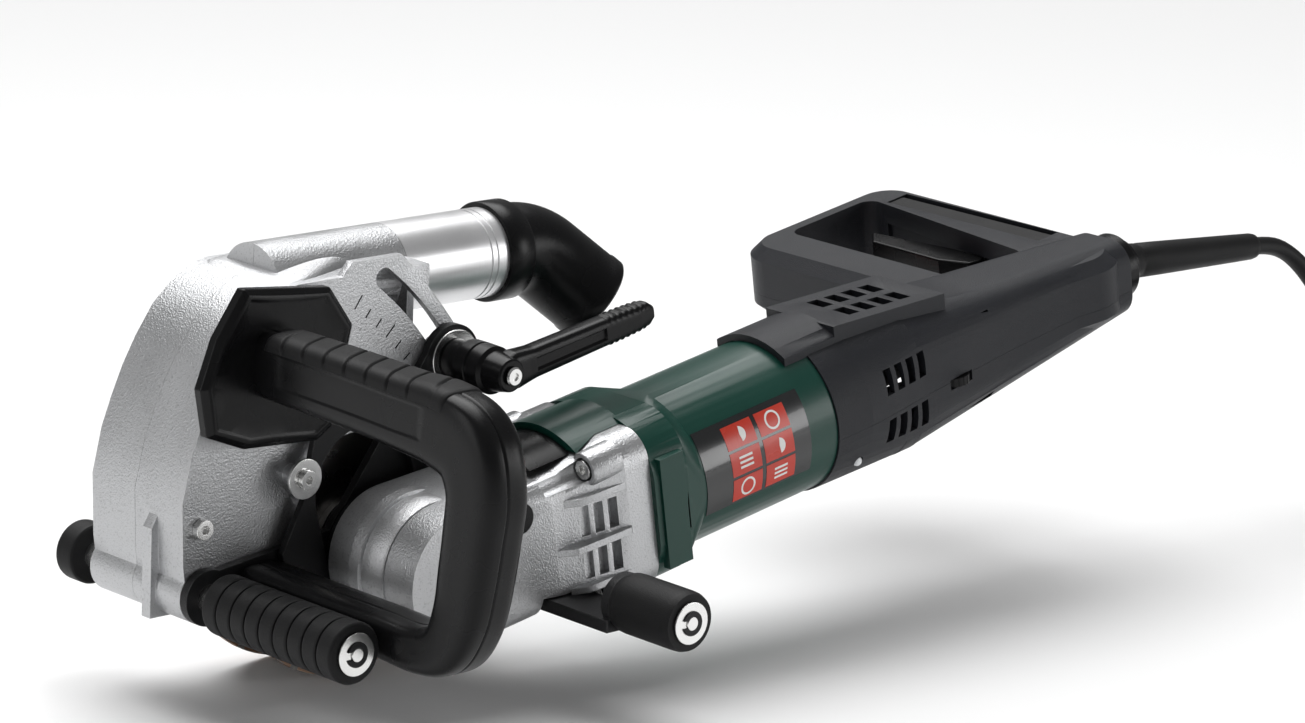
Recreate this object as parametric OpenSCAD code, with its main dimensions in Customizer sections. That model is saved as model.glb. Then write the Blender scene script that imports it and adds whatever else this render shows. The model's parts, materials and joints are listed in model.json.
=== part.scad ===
// Wall chaser: two diamond discs side by side under a hood, driven by an angled motor unit.
// Working frame of the formulas: x rearwards along the hood, y to the far side, z up from the wall.
// Its zero is the near end of the rear roller axle; seat() moves it to the frame of the part.

/* [Discs] */
// Diameter of a diamond disc
disc_d = 125; // [115:1:126]
// Thickness of the steel core of a disc
disc_t = 2; // [1.6:0.1:2.4]
// Distance between the middle planes of the two discs
disc_gap = 37; // [30:1:37]
// Depth by which the discs stand below the rollers
cut_depth = 40.5; // [38:0.5:42]

/* [Motor unit] */
// Outer diameter of the motor housing
motor_d = 76; // [72:1:78]
// Upward slope of the motor axis towards the rear handle
motor_pitch = 10.5; // [9:0.5:11]
// Diameter of the neck of the gear case where it enters the hood
neck_d = 38; // [34:1:38]

/* [Hood] */
// Wall thickness of the cast hood
wall = 4; // [3:0.5:4.5]
// Outer diameter of the suction duct
duct_d = 40.8; // [38:0.2:42]
// Swing of the hood from the deepest to the shallowest cut
depth_swing = 19.5; // [15:0.5:19.5]

/* [Rollers] */
// Diameter of a rubber roller
roller_d = 27; // [24:0.5:27]
// Diameter of the roller axles
axle_d = 12; // [10:1:12]
// Width of one roller ring
ring_w = 9.4; // [8:0.1:9.4]

/* [Mains cord] */
// Diameter of the cord
cord_d = 9; // [8:0.5:9]

/* [Hidden] */
$fn = 48;

eps = 0.01;
gap = 0.3;
running = 0.05;
bearing_play = 0.08;
spin_x = -55;
spin_z = disc_d / 2 - roller_d / 2 - cut_depth;
mid_y = 106;
front_x = -144;
front_y = 48.7;
far_end_y = 237;
hood_y0 = 150;
hood_y1 = 213;
// Plane where the far rear axle starts, clear of the far disc
far_stub_y = 202;
seam_y = 183;
disc_y = 162;
roller_r = roller_d / 2;
ground_z = spin_z - disc_d / 2;
// Shift that centres the machine, without its cord, on the origin
centre_x = 111.4;
centre_y = 117.5;
duct_y = 184;
duct_z = 121;
duct_end = 51;
tube_wall = 5;
stud = [-11, 87];
seam_n = -6;

module seat() { translate([-centre_x, -centre_y, -ground_z]) children(); }
// Motor frame: x along the motor axis from the spindle, y across, z square to both
module motor() { translate([spin_x, mid_y, spin_z]) rotate([0, -motor_pitch, 0]) children(); }
// Cylinder along y between two planes, centred on [x, z]
module bar_y(d, y0, y1, at = [0, 0]) {
    translate([at[0], y0, at[1]]) rotate([-90, 0, 0]) cylinder(d = d, h = y1 - y0);
}
module ring_y(d, bore, y0, y1, at = [0, 0]) {
    difference() {
        bar_y(d, y0, y1, at);
        bar_y(bore, y0 - 1, y1 + 1, at);
    }
}
// Cylinder along x between two planes, centred on [y, z]
module bar_x(d, x0, x1, at = [0, 0]) {
    translate([x0, at[0], at[1]]) rotate([0, 90, 0]) cylinder(d = d, h = x1 - x0);
}
module ring_x(d, bore, x0, x1, at = [0, 0]) {
    difference() {
        bar_x(d, x0, x1, at);
        bar_x(bore, x0 - 1, x1 + 1, at);
    }
}
// Outline drawn in x and z, given a thickness from y0 to y1
module side(y0, y1) { translate([0, y1, 0]) rotate([90, 0, 0]) linear_extrude(y1 - y0) children(); }
// Outline drawn in y and z, given a length from x0 to x1
module end_on(x0, x1) {
    translate([x0, 0, 0]) rotate([90, 0, 90]) linear_extrude(x1 - x0) children();
}
module soft_rect(w, h, r) {
    for (a = [-1, 1]) translate([a * (w / 2 - r), 0]) square([2 * r - eps, h - 2 * r], center = true);
    square([w - 2 * r, h], center = true);
    for (a = [-1, 1], b = [-1, 1]) translate([a * (w / 2 - r), b * (h / 2 - r)]) circle(r);
}
// Screw along y with a socket in its head, which faces the near side
module screw_y(d, head, y0, y1, at) {
    difference() {
        union() {
            bar_y(head, y0, y0 + d * 0.7, at);
            bar_y(d, y0, y1, at);
        }
        translate([at[0], y0 - eps, at[1]]) rotate([-90, 0, 0]) cylinder(d = d * 0.8, h = d * 0.4, $fn = 6);
    }
}
// Position of a point of the hood frame turned about the front axle by an angle in degrees
function swung(p, a) = let (u = p[0] - front_x, v = p[1])
    [front_x + u * cos(a) - v * sin(a), u * sin(a) + v * cos(a)];

// ---------------------------------------------------------------- motor unit
case_r = 30;
case_y0 = 82;
case_y1 = 138;
flange_s = 84;
joint_s = 98;
flange_w = 75;
shaft_d = 10;
bolt_n = 29;
bolt_v = 30;
head_s = 66;
lock_at = [-33, 34];
lock_head = 14;

module case_block() {
    hull() {
        bar_y(2 * case_r, case_y0, case_y1, [spin_x, spin_z]);
        motor() end_on(46, 62) soft_rect(62, 62, 12);
    }
    hull() {
        motor() end_on(55, 60) soft_rect(62, 62, 12);
        motor() end_on(flange_s, joint_s) soft_rect(flange_w, flange_w, 14);
    }
}
module gear_case() { color("silver") seat() difference() {
    union() {
        case_block();
        bar_y(neck_d + 10, case_y1 - 1, 141, [spin_x, spin_z]);
    }
    bar_y(51, 100, 128, [spin_x, spin_z]);
    bar_y(26 + eps, 127, 142, [spin_x, spin_z]);
    bar_y(20, 88, 101, [spin_x, spin_z]);
    motor() bar_x(19, 10, 76);
    motor() bar_x(60, 76, joint_s + 1);
    // Room for the roller carrier under the case
    translate([-15, 60, -60]) cube([30, 100, 54.2]);
    bar_y(8, 70, 101, lock_at);
    bar_y(lock_head + 2 * gap, 60, 82, lock_at);
    // Cooling windows in two rows
    motor() for (k = [0, 1, 2], j = [0, 1]) {
        translate([60 + 7 * k, -40, -20 + 20 * j]) cube([4.6, 9, 14]);
    }
    for (a = [-1, 1], b = [-1, 1]) motor() {
        bar_x(4.3, head_s, joint_s + 1, [a * bolt_v, b * bolt_n]);
        bar_x(10.4, 44, head_s + 5.02, [a * bolt_v, b * bolt_n]);
    }
    for (a = [60, 180, 300]) {
        bar_y(4.3, 131, 142, [spin_x + 22 * cos(a), spin_z + 22 * sin(a)]);
    }
} }
module gear_case_screws() { color("gainsboro") seat() for (a = [-1, 1], b = [-1, 1]) motor() difference() {
    union() {
        bar_x(4.2, head_s + 4, joint_s + 14, [a * bolt_v, b * bolt_n]);
        bar_x(9, head_s, head_s + 5, [a * bolt_v, b * bolt_n]);
    }
    bar_x(4.4, head_s - eps, head_s + 2.5, [a * bolt_v, b * bolt_n], $fn = 6);
} }
module bearing_cover() { color("dimgray") seat() difference() {
    union() {
        bar_y(52, 141, 144.5, [spin_x, spin_z]);
        bar_y(neck_d, 144, 156.5, [spin_x, spin_z]);
    }
    bar_y(16.6, 140, 158, [spin_x, spin_z]);
    for (a = [60, 180, 300]) bar_y(4.3, 140, 146, [spin_x + 22 * cos(a), spin_z + 22 * sin(a)]);
} }
arm_y0 = 145.3;
arm_y1 = 149.4;
module depth_arm() { color([0.09, 0.09, 0.1]) seat() difference() {
    side(arm_y0, arm_y1) {
        translate([front_x, 0]) circle(12.5);
        polygon([[front_x + 4, -9], [spin_x - 10, -10], [spin_x - 20, 20], [front_x + 2, 11]]);
        translate([spin_x, spin_z]) circle(26);
        polygon([[spin_x - 18, 26], [spin_x + 24, 0], [stud[0] + 14, stud[1] - 6],
            [stud[0] - 13, stud[1] + 6]]);
        translate(stud) circle(15);
    }
    bar_y(axle_d + 2 * running, arm_y0 - 1, arm_y1 + 1, [front_x, 0]);
    bar_y(neck_d + 0.02, arm_y0 - 1, arm_y1 + 1, [spin_x, spin_z]);
    bar_y(8.1, arm_y0 - 1, arm_y1 + 1, stud);
} }
module arm_screws() { color("gainsboro") seat() for (a = [60, 180, 300]) {
    bar_y(4.2, 132, 145, [spin_x + 22 * cos(a), spin_z + 22 * sin(a)]);
} }
brow_s = 68;
rear_s = 212;
module motor_housing() { color([0.03, 0.2, 0.17]) seat() motor() difference() {
    union() {
        end_on(joint_s, joint_s + 20) soft_rect(80, 80, 26);
        hull() {
            end_on(joint_s + 19, joint_s + 20) soft_rect(80, 80, 26);
            bar_x(motor_d, joint_s + 30, joint_s + 31);
        }
        bar_x(motor_d, joint_s + 26, rear_s);
        // Brow that reaches forward over the top of the gear case
        intersection() {
            bar_x(86, brow_s, joint_s + 2);
            translate([brow_s, -32, 18]) cube([joint_s + 2 - brow_s, 60, 40]);
        }
        // Blank raised panel on the near side
        translate([joint_s + 3, -41.4, -28]) cube([14, 4, 52]);
    }
    bar_x(66, joint_s + 12, rear_s + 1);
    bar_x(60, joint_s - 1, joint_s + 13);
    hull() {
        end_on(45, 60) soft_rect(63, 63, 12);
        end_on(flange_s - 1, joint_s) soft_rect(flange_w + 0.6, flange_w + 0.6, 14);
    }
    for (a = [-1, 1], b = [-1, 1]) bar_x(4.3, joint_s - 1, joint_s + 15, [a * bolt_v, b * bolt_n]);
} }
module exhaust_cover() { color([0.05, 0.05, 0.05]) seat() motor() difference() {
    intersection() {
        bar_x(80, 44, brow_s - gap);
        translate([44, -32, 22]) cube([30, 46, 40]);
    }
    end_on(40, 80) soft_rect(68, 68, 12);
} }
module rating_label() { color([0.55, 0.1, 0.08]) seat() motor() {
    difference() {
        bar_x(motor_d + 1, 129.5, 196);
        bar_x(motor_d + eps, 123, 197);
        translate([100, -60, 24]) cube([120, 120, 60]);
        translate([100, 0, -60]) cube([120, 60, 120]);
        translate([100, -60, -92]) cube([120, 120, 60]);
    }
} }
module stator() { color([0.45, 0.45, 0.47]) seat() motor() {
    ring_x(66 - eps, 46, 128, 184);
    for (s = [120, 184]) difference() {
        ring_x(60, 47, s, s + 8);
        translate([s - 1, -7, -40]) cube([10, 14, 80]);
    }
} }
module brush_holders() { color([0.72, 0.55, 0.2]) seat() motor() for (a = [-1, 1]) {
    translate([199, a > 0 ? 14 : -32, -5]) cube([10, 18, 10]);
} }
// Deep-groove bearings of both shafts
module motor_bearings() { color("lightgray") seat() {
    motor() ring_x(19 - eps, shaft_d + bearing_play, 48, 60);
    motor() ring_x(22, 7 + bearing_play, 217, 224);
    ring_y(26, 16 + bearing_play, 130, 141, [spin_x, spin_z]);
    ring_y(20 - eps, 12 + bearing_play, 89, 99, [spin_x, spin_z]);
} }

// Rear handle: housing along the motor axis with a closed loop on its far side
grip_v = 143;
shell_screws = [[346, 120], [346, 46]];
module loop_outline() {
    hull() {
        translate([338, 0]) circle(16);
        translate([343, grip_v - 20]) circle(20);
        translate([410, grip_v - 20]) circle(20);
        translate([404, -4]) circle(24);
    }
}
module loop_opening() {
    hull() {
        translate([356, 22]) circle(7);
        translate([357, 124]) circle(7);
        translate([399, 124]) circle(7);
        translate([386, 20]) circle(7);
    }
}
module handle_body() {
    hull() {
        bar_x(motor_d + 2, rear_s + 0.2, rear_s + 22);
        translate([270, 0, -2]) end_on(0, 2) soft_rect(68, 70, 24);
    }
    hull() {
        translate([262, 0, -2]) end_on(0, 8) soft_rect(68, 70, 24);
        translate([330, 0, -3]) end_on(0, 2) soft_rect(56, 54, 16);
    }
    hull() {
        translate([330, 0, -3]) end_on(0, 2) soft_rect(56, 54, 16);
        translate([424, -4, -1]) end_on(0, 4) soft_rect(38, 38, 12);
    }
    // Loop with chamfered rims
    hull() {
        translate([0, 0, -12]) linear_extrude(24) loop_outline();
        translate([0, 0, -17.5]) linear_extrude(35) offset(delta = -6) loop_outline();
    }
    // Ridge with the upper vents, which starts in front of the seam
    intersection() {
        bar_x(83, rear_s - 14, rear_s + 20);
        translate([rear_s - 14, -22, 20]) cube([46, 44, 30]);
    }
    hull() {
        translate([rear_s + 18, -22, 20]) cube([2, 44, 20]);
        translate([rear_s + 88, -22, 18]) cube([2, 44, 15]);
    }
}
module handle_hollow() {
    bar_x(68, rear_s - 40, 268);
    translate([266, -26, -26]) cube([60, 52, 44]);
    translate([324, -17, -14]) cube([68, 28, 24]);
    translate([0, 0, -30]) linear_extrude(60) loop_opening();
    bar_x(motor_d + 2 * gap, rear_s - 60, rear_s);
    // Well of the trigger in the front of the grip bar
    translate([388, 40, -7.5]) cube([20, 78, 15]);
    // Well of the lock-off button in the front leg
    translate([340, 74, -6]) cube([14, 30, 12]);
    // Slot of the speed wheel in the near side
    translate([292, -40, -10]) cube([16, 20, 5]);
    // Vents
    for (k = [0, 1, 2, 3]) {
        translate([248 + 11 * k, -14, 25]) cube([7, 11, 20]);
        translate([248 + 11 * k, 3, 25]) cube([7, 11, 20]);
        translate([246 + 8 * k, -42, 4]) cube([5, 16, 12]);
        translate([246 + 8 * k, -42, -20]) cube([5, 16, 12]);
    }
    for (p = shell_screws) translate([p[0], p[1], -30]) cylinder(d = 6.1, h = 18);
    bar_y(5, -42, -20, [230, -24]);
    bar_x(22, 390, 440, [-4, 0]);
    translate([408, 18, 10]) cube([14, 102, 14]);
}
module handle_half(n0, n1) { difference() {
    intersection() {
        handle_body();
        translate([rear_s - 60, -80, n0]) cube([320, 260, n1 - n0]);
    }
    handle_hollow();
} }
module handle_upper() { color([0.13, 0.13, 0.15]) seat() motor() handle_half(seam_n + 0.05, 60); }
module handle_lower() { color([0.12, 0.12, 0.14]) seat() motor() handle_half(-60, seam_n - 0.05); }
module handle_screws() { color("gainsboro") seat() motor() {
    for (p = shell_screws) translate([p[0], p[1], -15]) difference() {
        cylinder(d = 6, h = 3);
        translate([0, 0, -eps]) cylinder(d = 3, h = 1.5, $fn = 6);
    }
} }
module grip_inlay() { color([0.06, 0.06, 0.06]) seat() motor() {
    translate([408.2, 18.2, 10.2]) cube([11, 101.6, 6.8]);
} }
module switch_block() { color([0.2, 0.2, 0.2]) seat() motor() translate([340, -16, -12]) cube([44, 26, 20]); }
module status_lens() { color("white") seat() motor() bar_y(4.9, -36, -24, [230, -24]); }
module cable_collar() { color([0.07, 0.07, 0.08]) seat() motor() difference() {
    union() {
        bar_x(21.9, 408, 430, [-4, 0]);
        bar_x(33, 428.6, 437, [-4, 0]);
        bar_x(25, 436, 442, [-4, 0]);
    }
    bar_x(cord_d, 407, 444, [-4, 0]);
} }

// ---------------------------------------------------------------- mains cord
sleeve_at = [380.2, 102, 89.1];
sleeve_len = 97;
module cord_sleeve() { color([0.06, 0.06, 0.06]) seat() translate(sleeve_at) rotate([0, 92.5, 0])
    difference() {
    union() {
        cylinder(d1 = 17, d2 = 13, h = sleeve_len);
        sphere(d = 17);
    }
    translate([0, 0, -1]) cylinder(d = cord_d, h = sleeve_len + 2);
    translate([0, 0, -12]) cylinder(d = cord_d, h = 12);
} }
// Route of the cord from the sleeve down to the coil, in the frame of the part
route = [[366, -15.5, 139], [376, -15.5, 138.4], [387, -16, 135.6], [397, -17.5, 129.5], [406, -20.5, 120],
    [414, -25, 107], [421, -30.5, 91], [428, -37, 73], [434, -43.5, 56], [441, -51.5, 40], [449.5, -61.5, 26],
    [459, -72.5, 15], [469.5, -84.5, 7.6], [480, -97, 4.6]];
cord_sides = 10;
function along(i) = let (a = route[max(i - 1, 0)], b = route[min(i + 1, len(route) - 1)])
    (b - a) / norm(b - a);
function side_of(t) = let (w = cross([0, 0, 1], t)) w / norm(w);
function ring_of(i) = let (t = along(i), u = side_of(t), w = cross(t, u))
    [for (k = [0:cord_sides - 1]) let (a = 360 * k / cord_sides)
        route[i] + cord_d / 2 * (cos(a) * u + sin(a) * w)];
module cord() { color([0.05, 0.05, 0.05])
    polyhedron(
        points = [for (i = [0:len(route) - 1]) each ring_of(i)],
        faces = concat(
            [[for (k = [0:cord_sides - 1]) cord_sides - 1 - k]],
            [for (i = [0:len(route) - 2], k = [0:cord_sides - 1]) let (a = i * cord_sides,
                m = (k + 1) % cord_sides)
                [a + k, a + m, a + cord_sides + m, a + cord_sides + k]],
            [[for (k = [0:cord_sides - 1]) (len(route) - 1) * cord_sides + k]]),
        convexity = 4);
}
coil_at = [430, -139];
coil_mid = 52;
coil_w = 35.2;
coil_h = 36.6;
module at_coil(a) { translate([coil_at[0], coil_at[1], 0]) rotate([0, 0, a]) children(); }
module cord_coil() { color([0.06, 0.06, 0.06]) at_coil(0)
    rotate_extrude($fn = 64) translate([coil_mid - coil_w / 2, 0.1]) square([coil_w, coil_h]);
}
module cord_tie() { color([0.2, 0.2, 0.2]) at_coil(-60) translate([coil_mid, 0, 0]) difference() {
    translate([-coil_w / 2 - 2.8, -6, 0]) cube([coil_w + 4.8, 12, coil_h + 1.6]);
    translate([-coil_w / 2 - 0.8, -7, -1]) cube([coil_w + 1, 14, coil_h + 1.3]);
} }
// Two-pin plug that lies on the coil; its sleeve starts where the cord ends
plug_r = 16;
plug_turn = 110;
module cord_plug() { color([0.07, 0.07, 0.07]) at_coil(plug_turn)
    translate([46, 0, coil_h + 0.2 + plug_r]) rotate([90, 0, 0]) {
        cylinder(d1 = 13, d2 = 20, h = 16);
        translate([0, 0, 16]) cylinder(r = plug_r, h = 26);
        for (a = [-1, 1]) translate([9.5 * a, 0, 41]) cylinder(d = 4.8, h = 20);
    }
}

// ---------------------------------------------------------------- hood
front_curve = [[-152, -6], [-155, 14], [-156, 42], [-151.5, 62], [-146.5, 75], [-141, 87.5], [-134, 100],
    [-125, 113], [-115, 122], [-105, 128], [-96, 130]];
rear_edge = [[-22, 130], [-22, 101], [2, 74], [13, 44], [13, -6]];
module hood_outline() { polygon(concat(front_curve, rear_edge)); }
module hood_room() { polygon([[-148, -20], [-151, 14], [-152, 42], [-147.5, 60], [-143, 73], [-137, 85.5],
    [-130.5, 98], [-122, 110], [-112.5, 118.5], [-104, 124], [-94, 126], [-26, 126], [-26, 102],
    [-1, 72], [9, 43], [9, -20]]); }
// Window that leaves room for the neck over the whole swing
module neck_window(d) {
    a = [spin_x, spin_z];
    b = swung(a, depth_swing);
    u = (b - a) / norm(b - a) * d / 2;
    w = [-u[1], u[0]];
    translate(a) circle(d = d);
    translate(b) circle(d = d);
    polygon([a + w, b + w, b - w, a - w]);
}
module web_outline() { polygon([[-100, 60], [-100, 126], [-74, 127], [-66, 136], [-38, 136], [-26, 124],
    [-13, 109], [2, 90], [2, 74], [-22, 60]]); }
// Arc slot of a given width along the path of the clamp stud
slot_w = 9.4;
pocket_w = 21;
module stud_slot(w) {
    reach = norm([stud[0] - front_x, stud[1]]);
    low = atan2(stud[1], stud[0] - front_x);
    translate([front_x, 0]) rotate(low) difference() {
        intersection() {
            circle(reach + w / 2);
            polygon([[0, 0], [2 * reach, 0], [2 * reach * cos(depth_swing), 2 * reach * sin(depth_swing)]]);
        }
        circle(reach - w / 2);
    }
    for (a = [0, depth_swing]) translate(swung(stud, a)) circle(d = w);
}
seam_bolts = [[-146, 30], [-136, 82], [-101, 121]];
base_posts = [[-125, 84], [-118, 106], [-89, 116]];
guard_post = [-97.5, 46.5];
guard_bore = 4.9;
guard_y0 = 141.2;
// Rim and bosses of one half of the hood
module hood_rim(y0, y1) {
    side(y0, y1) difference() {
        hood_outline();
        difference() {
            hood_room();
            translate([front_x, 0]) circle(d = 20);
        }
    }
    bar_y(roller_d - 2, y0, y1, [front_x, 0]);
    intersection() {
        bar_x(duct_d, -94, -22, [duct_y, duct_z]);
        translate([-100, y0, 100]) cube([90, y1 - y0, 60]);
    }
    for (p = seam_bolts) bar_y(11, y0, y1, p);
}
// Bores that both halves share
module hood_bores() {
    bar_y(axle_d + 0.02, hood_y0 - 1, hood_y1 + 1, [front_x, 0]);
    for (p = seam_bolts) bar_y(5.1, hood_y0 - 1, hood_y1 + 1, p);
    bar_x(duct_d - 2 * duct_wall, -90, 60, [duct_y, duct_z]);
}
module hood_near() { color("silver") seat() difference() {
    union() {
        hood_rim(hood_y0, seam_y);
        side(hood_y0, hood_y0 + wall) union() {
            hood_outline();
            web_outline();
        }
        // Rib beside the roller bar
        side(167, 173) polygon([[-159, -12], [-159, 28], [-153, 38], [-146, 30], [-146, -12]]);
        for (p = base_posts) bar_y(10, 144.2, hood_y0 + 1, p);
        bar_y(9, 144.6, hood_y0 + 1, guard_post);
    }
    bar_y(guard_bore, 144, 147, guard_post);
    side(hood_y0 - 1, hood_y0 + wall + 1) neck_window(neck_d + 6);
    side(hood_y0 - 1, hood_y0 + wall + 1) stud_slot(slot_w);
    side(hood_y0 + wall, 160) stud_slot(pocket_w);
    hood_bores();
} }
module hood_far() { color("silver") seat() difference() {
    union() {
        hood_rim(seam_y + 0.05, hood_y1);
        side(hood_y1 - wall, hood_y1) hood_outline();
        bar_y(24, far_stub_y, hood_y1);
    }
    hood_bores();
    bar_y(axle_d + 0.02, far_stub_y - 1, hood_y1 + 1);
} }
module hood_screws() { color("gainsboro") seat() for (p = seam_bolts) screw_y(5, 9, hood_y0 - 3.6, 206, p); }
module suction_duct() { color("whitesmoke") seat() difference() {
    union() {
        bar_x(duct_d, -21.9, duct_end, [duct_y, duct_z]);
        bar_x(duct_d - 2 * duct_wall - 2 * eps, -30, -21, [duct_y, duct_z]);
    }
    bar_x(duct_d - 2 * tube_wall, -31, duct_end + 1, [duct_y, duct_z]);
} }
module roller_axles() { color("gainsboro") seat() {
    bar_y(axle_d, front_y, far_end_y + 1, [front_x, 0]);
    bar_y(axle_d, 0, ear_y1);
    bar_y(axle_d, far_stub_y, far_end_y + 1);
    bar_y(6, front_y - 2, front_y, [front_x, 0]);
    bar_y(6, -2, 0);
    for (x = [front_x, 0]) bar_y(6, far_end_y + 1, far_end_y + 3, [x, 0]);
} }
// Flat bracket that runs under the gear case and carries the near rear roller
ear_y0 = 38;
ear_y1 = 43;
module rear_carrier() { color([0.06, 0.06, 0.06]) seat() difference() {
    union() {
        translate([-12.5, ear_y0, -12.3]) cube([25, hood_y0 - ear_y0, 5.8]);
        side(ear_y0, ear_y1) circle(d = 24.6);
    }
    bar_y(axle_d + 0.02, ear_y0 - 1, ear_y1 + 1);
} }
module roller_washers() { color("gainsboro") seat() {
    ring_y(18.7, 6.2, front_y - 1.2, front_y - 0.1, [front_x, 0]);
    ring_y(18.7, 6.2, -1.2, -0.1);
    for (x = [front_x, 0]) ring_y(18.7, 6.2, far_end_y + 1.1, far_end_y + 2.2, [x, 0]);
} }
module axle_clips() { color([0.1, 0.1, 0.1]) seat() for (p = [[front_x, front_y - 2], [0, -2]]) {
    difference() {
        ring_y(11, 6.1, p[1], p[1] + 0.7, [p[0], 0]);
        translate([p[0] - 7, p[1] - 1, -1.6]) cube([7, 3, 3.2]);
    }
} }
module front_handle_base() { color([0.07, 0.07, 0.08]) seat() difference() {
    side(137, 144) polygon([[-134, 135], [-87, 130], [-74, 112], [-84, 68], [-92, 63], [-132, 65],
        [-152, 73], [-156, 94], [-148, 115]]);
    // Rebate that holds the corner of the neck guard
    translate([-96, guard_y0 - 0.1, 50]) cube([30, 4, 30]);
} }
// Closed front handle: top grip, upright and lower bar, drawn in y and z
grip_x = -119;
module front_handle_ring() { difference() {
    union() {
        hull() {
            translate([136, 101]) square([1, 29], center = true);
            translate([18, 96]) circle(20);
            translate([10, 94]) circle(22);
        }
        hull() {
            translate([8, 92]) circle(22);
            translate([11, 18]) circle(16);
            translate([28, 76]) circle(10);
            translate([30, 12]) circle(10);
        }
        hull() {
            translate([13, 16]) circle(16);
            translate([50, 2.5]) circle(10);
        }
        translate([49, -7.5]) square([95, 19.5]);
    }
    hull() {
        translate([25, 76]) circle(7);
        translate([31, 19]) circle(7);
        translate([130, 17]) circle(7);
        translate([130, 79]) circle(7);
    }
} }
module front_handle_shape(x0, x1) { intersection() {
    end_on(x0, x1) front_handle_ring();
    translate([-200, -60, -60]) cube([400, 196.8, 300]);
} }
module front_handle_left() { color([0.08, 0.08, 0.09]) seat() difference() {
    front_handle_shape(grip_x - 9.8, grip_x - 0.05);
    side(60, 145) translate([front_x, 0]) circle(roller_r + 1);
    grip_pad(running);
} }
module front_handle_right() { color([0.08, 0.08, 0.09]) seat() difference() {
    front_handle_shape(grip_x + 0.05, grip_x + 14);
    grip_pad(running);
} }
// Rubber pad in a pocket of the top grip, and that pocket with a little play
module grip_pad(play) {
    translate([grip_x - 8 - play, 38 - play, 114.5 - play]) cube([20 + 2 * play, 84 + 2 * play, 2 + play]);
}
module front_grip_pad() { color([0.05, 0.05, 0.05]) seat() grip_pad(0); }
module neck_guard() { color([0.1, 0.1, 0.11]) seat() side(guard_y0, 144.6) difference() {
    polygon([[-108, 14], [-93, 44], [-94, 52], [-90, 72], [-60, 76], [-34, 66], [-20, 40], [-18, -22],
        [-98, -22]]);
    neck_window(neck_d + 17);
    translate(guard_post) circle(d = guard_bore);
} }
module guard_screws() { color("gainsboro") seat() {
    screw_y(4.8, 8.5, 137, 146, guard_post);
    ring_y(18, 8.6, 139.6, guard_y0 - 0.1, guard_post);
} }

// ---------------------------------------------------------------- elbow
elbow_roll = -27.8;
elbow_turn = 45;
turn_x = duct_end + 14;
leg_len = 42;
duct_wall = 3;
// Straight inlet, ball and turned outlet of the elbow, for an outer or an inner diameter
module elbow_run(d, ball, extra) {
    bar_x(d, duct_end, turn_x, [duct_y, duct_z]);
    translate([turn_x, duct_y, duct_z]) {
        sphere(d = ball);
        rotate([elbow_roll, 0, 0]) rotate([0, 180 - elbow_turn, 0]) cylinder(d = d, h = leg_len + extra);
    }
}
module duct_elbow() { color([0.1, 0.1, 0.11]) seat() difference() {
    union() {
        bar_x(duct_d + 4, duct_end - 14, duct_end + 1, [duct_y, duct_z]);
        elbow_run(duct_d, duct_d + 2.4, 0);
    }
    bar_x(duct_d + 2 * running, duct_end - 15, duct_end + 0.2, [duct_y, duct_z]);
    elbow_run(duct_d - 2 * duct_wall, duct_d - 3, 1);
} }

// ---------------------------------------------------------------- rollers
module roller(y0, y1, x) { ring_y(roller_d, axle_d + 2 * running, y0, y1, [x, 0]); }
module front_roller_rings() { color([0.06, 0.06, 0.06]) seat() {
    for (k = [0:8]) {
        y0 = front_y + 0.2 + (ring_w + 0.1) * k;
        roller(y0, y0 + ring_w, front_x);
    }
    ring_y(roller_d - 3, axle_d + 2 * running, front_y + 0.4, front_y + 85, [front_x, 0]);
} }
module front_far_roller() { color([0.06, 0.06, 0.06]) seat() roller(225.8, far_end_y, front_x); }
module rear_near_roller() { color([0.06, 0.06, 0.06]) seat() roller(0.2, ear_y0 - 0.3, 0); }
module rear_far_roller() { color([0.06, 0.06, 0.06]) seat() roller(216, far_end_y, 0); }

// ---------------------------------------------------------------- spindle and discs
crown_teeth = 37;
pinion_teeth = 11;
module spindle() { color("lightgray") seat() {
    bar_y(12, 88.5, 101, [spin_x, spin_z]);
    bar_y(16, 101, 161, [spin_x, spin_z]);
    bar_y(14, 161, 208, [spin_x, spin_z]);
} }
module crown_gear() { color("gray") seat() difference() {
    ring_y(49, 16, 112.3, 122, [spin_x, spin_z]);
    for (k = [0:crown_teeth - 1]) translate([spin_x, 112, spin_z]) rotate([0, 360 * k / crown_teeth, 0])
        translate([16, 0, -0.9]) cube([10, 2.3, 1.8]);
} }
module disc(y) { color([0.45, 0.43, 0.42]) seat() difference() {
    union() {
        bar_y(disc_d - 18, y - disc_t / 2, y + disc_t / 2, [spin_x, spin_z]);
        for (k = [0:8]) translate([spin_x, y, spin_z]) rotate([0, 40 * k, 0]) segment();
    }
    bar_y(22.2, y - 3, y + 3, [spin_x, spin_z]);
} }
module segment() { translate([0, disc_t / 2 + 0.2, 0]) rotate([90, 0, 0])
    rotate_extrude(angle = 36) translate([disc_d / 2 - 10, 0]) square([10, disc_t + 0.4]);
}
module disc_near() { disc(disc_y); }
module disc_far() { disc(disc_y + disc_gap); }
module disc_flange() { color("gray") seat() {
    ring_y(40, 16, 157.2, disc_y - disc_t / 2, [spin_x, spin_z]);
    ring_y(22, 14, disc_y - disc_t / 2, disc_y + disc_t / 2, [spin_x, spin_z]);
} }
module disc_spacer() { color("gray") seat() {
    ring_y(40, 14, disc_y + disc_t / 2, disc_y + disc_gap - disc_t / 2, [spin_x, spin_z]);
    ring_y(22, 14, disc_y + disc_gap - disc_t / 2, disc_y + disc_gap + disc_t / 2, [spin_x, spin_z]);
} }
module disc_nut() { color("dimgray") seat() difference() {
    ring_y(40, 14, disc_y + disc_gap + disc_t / 2, 207, [spin_x, spin_z]);
    for (a = [-1, 1]) bar_y(5, 202, 208, [spin_x + 14 * a, spin_z]);
} }

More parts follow.
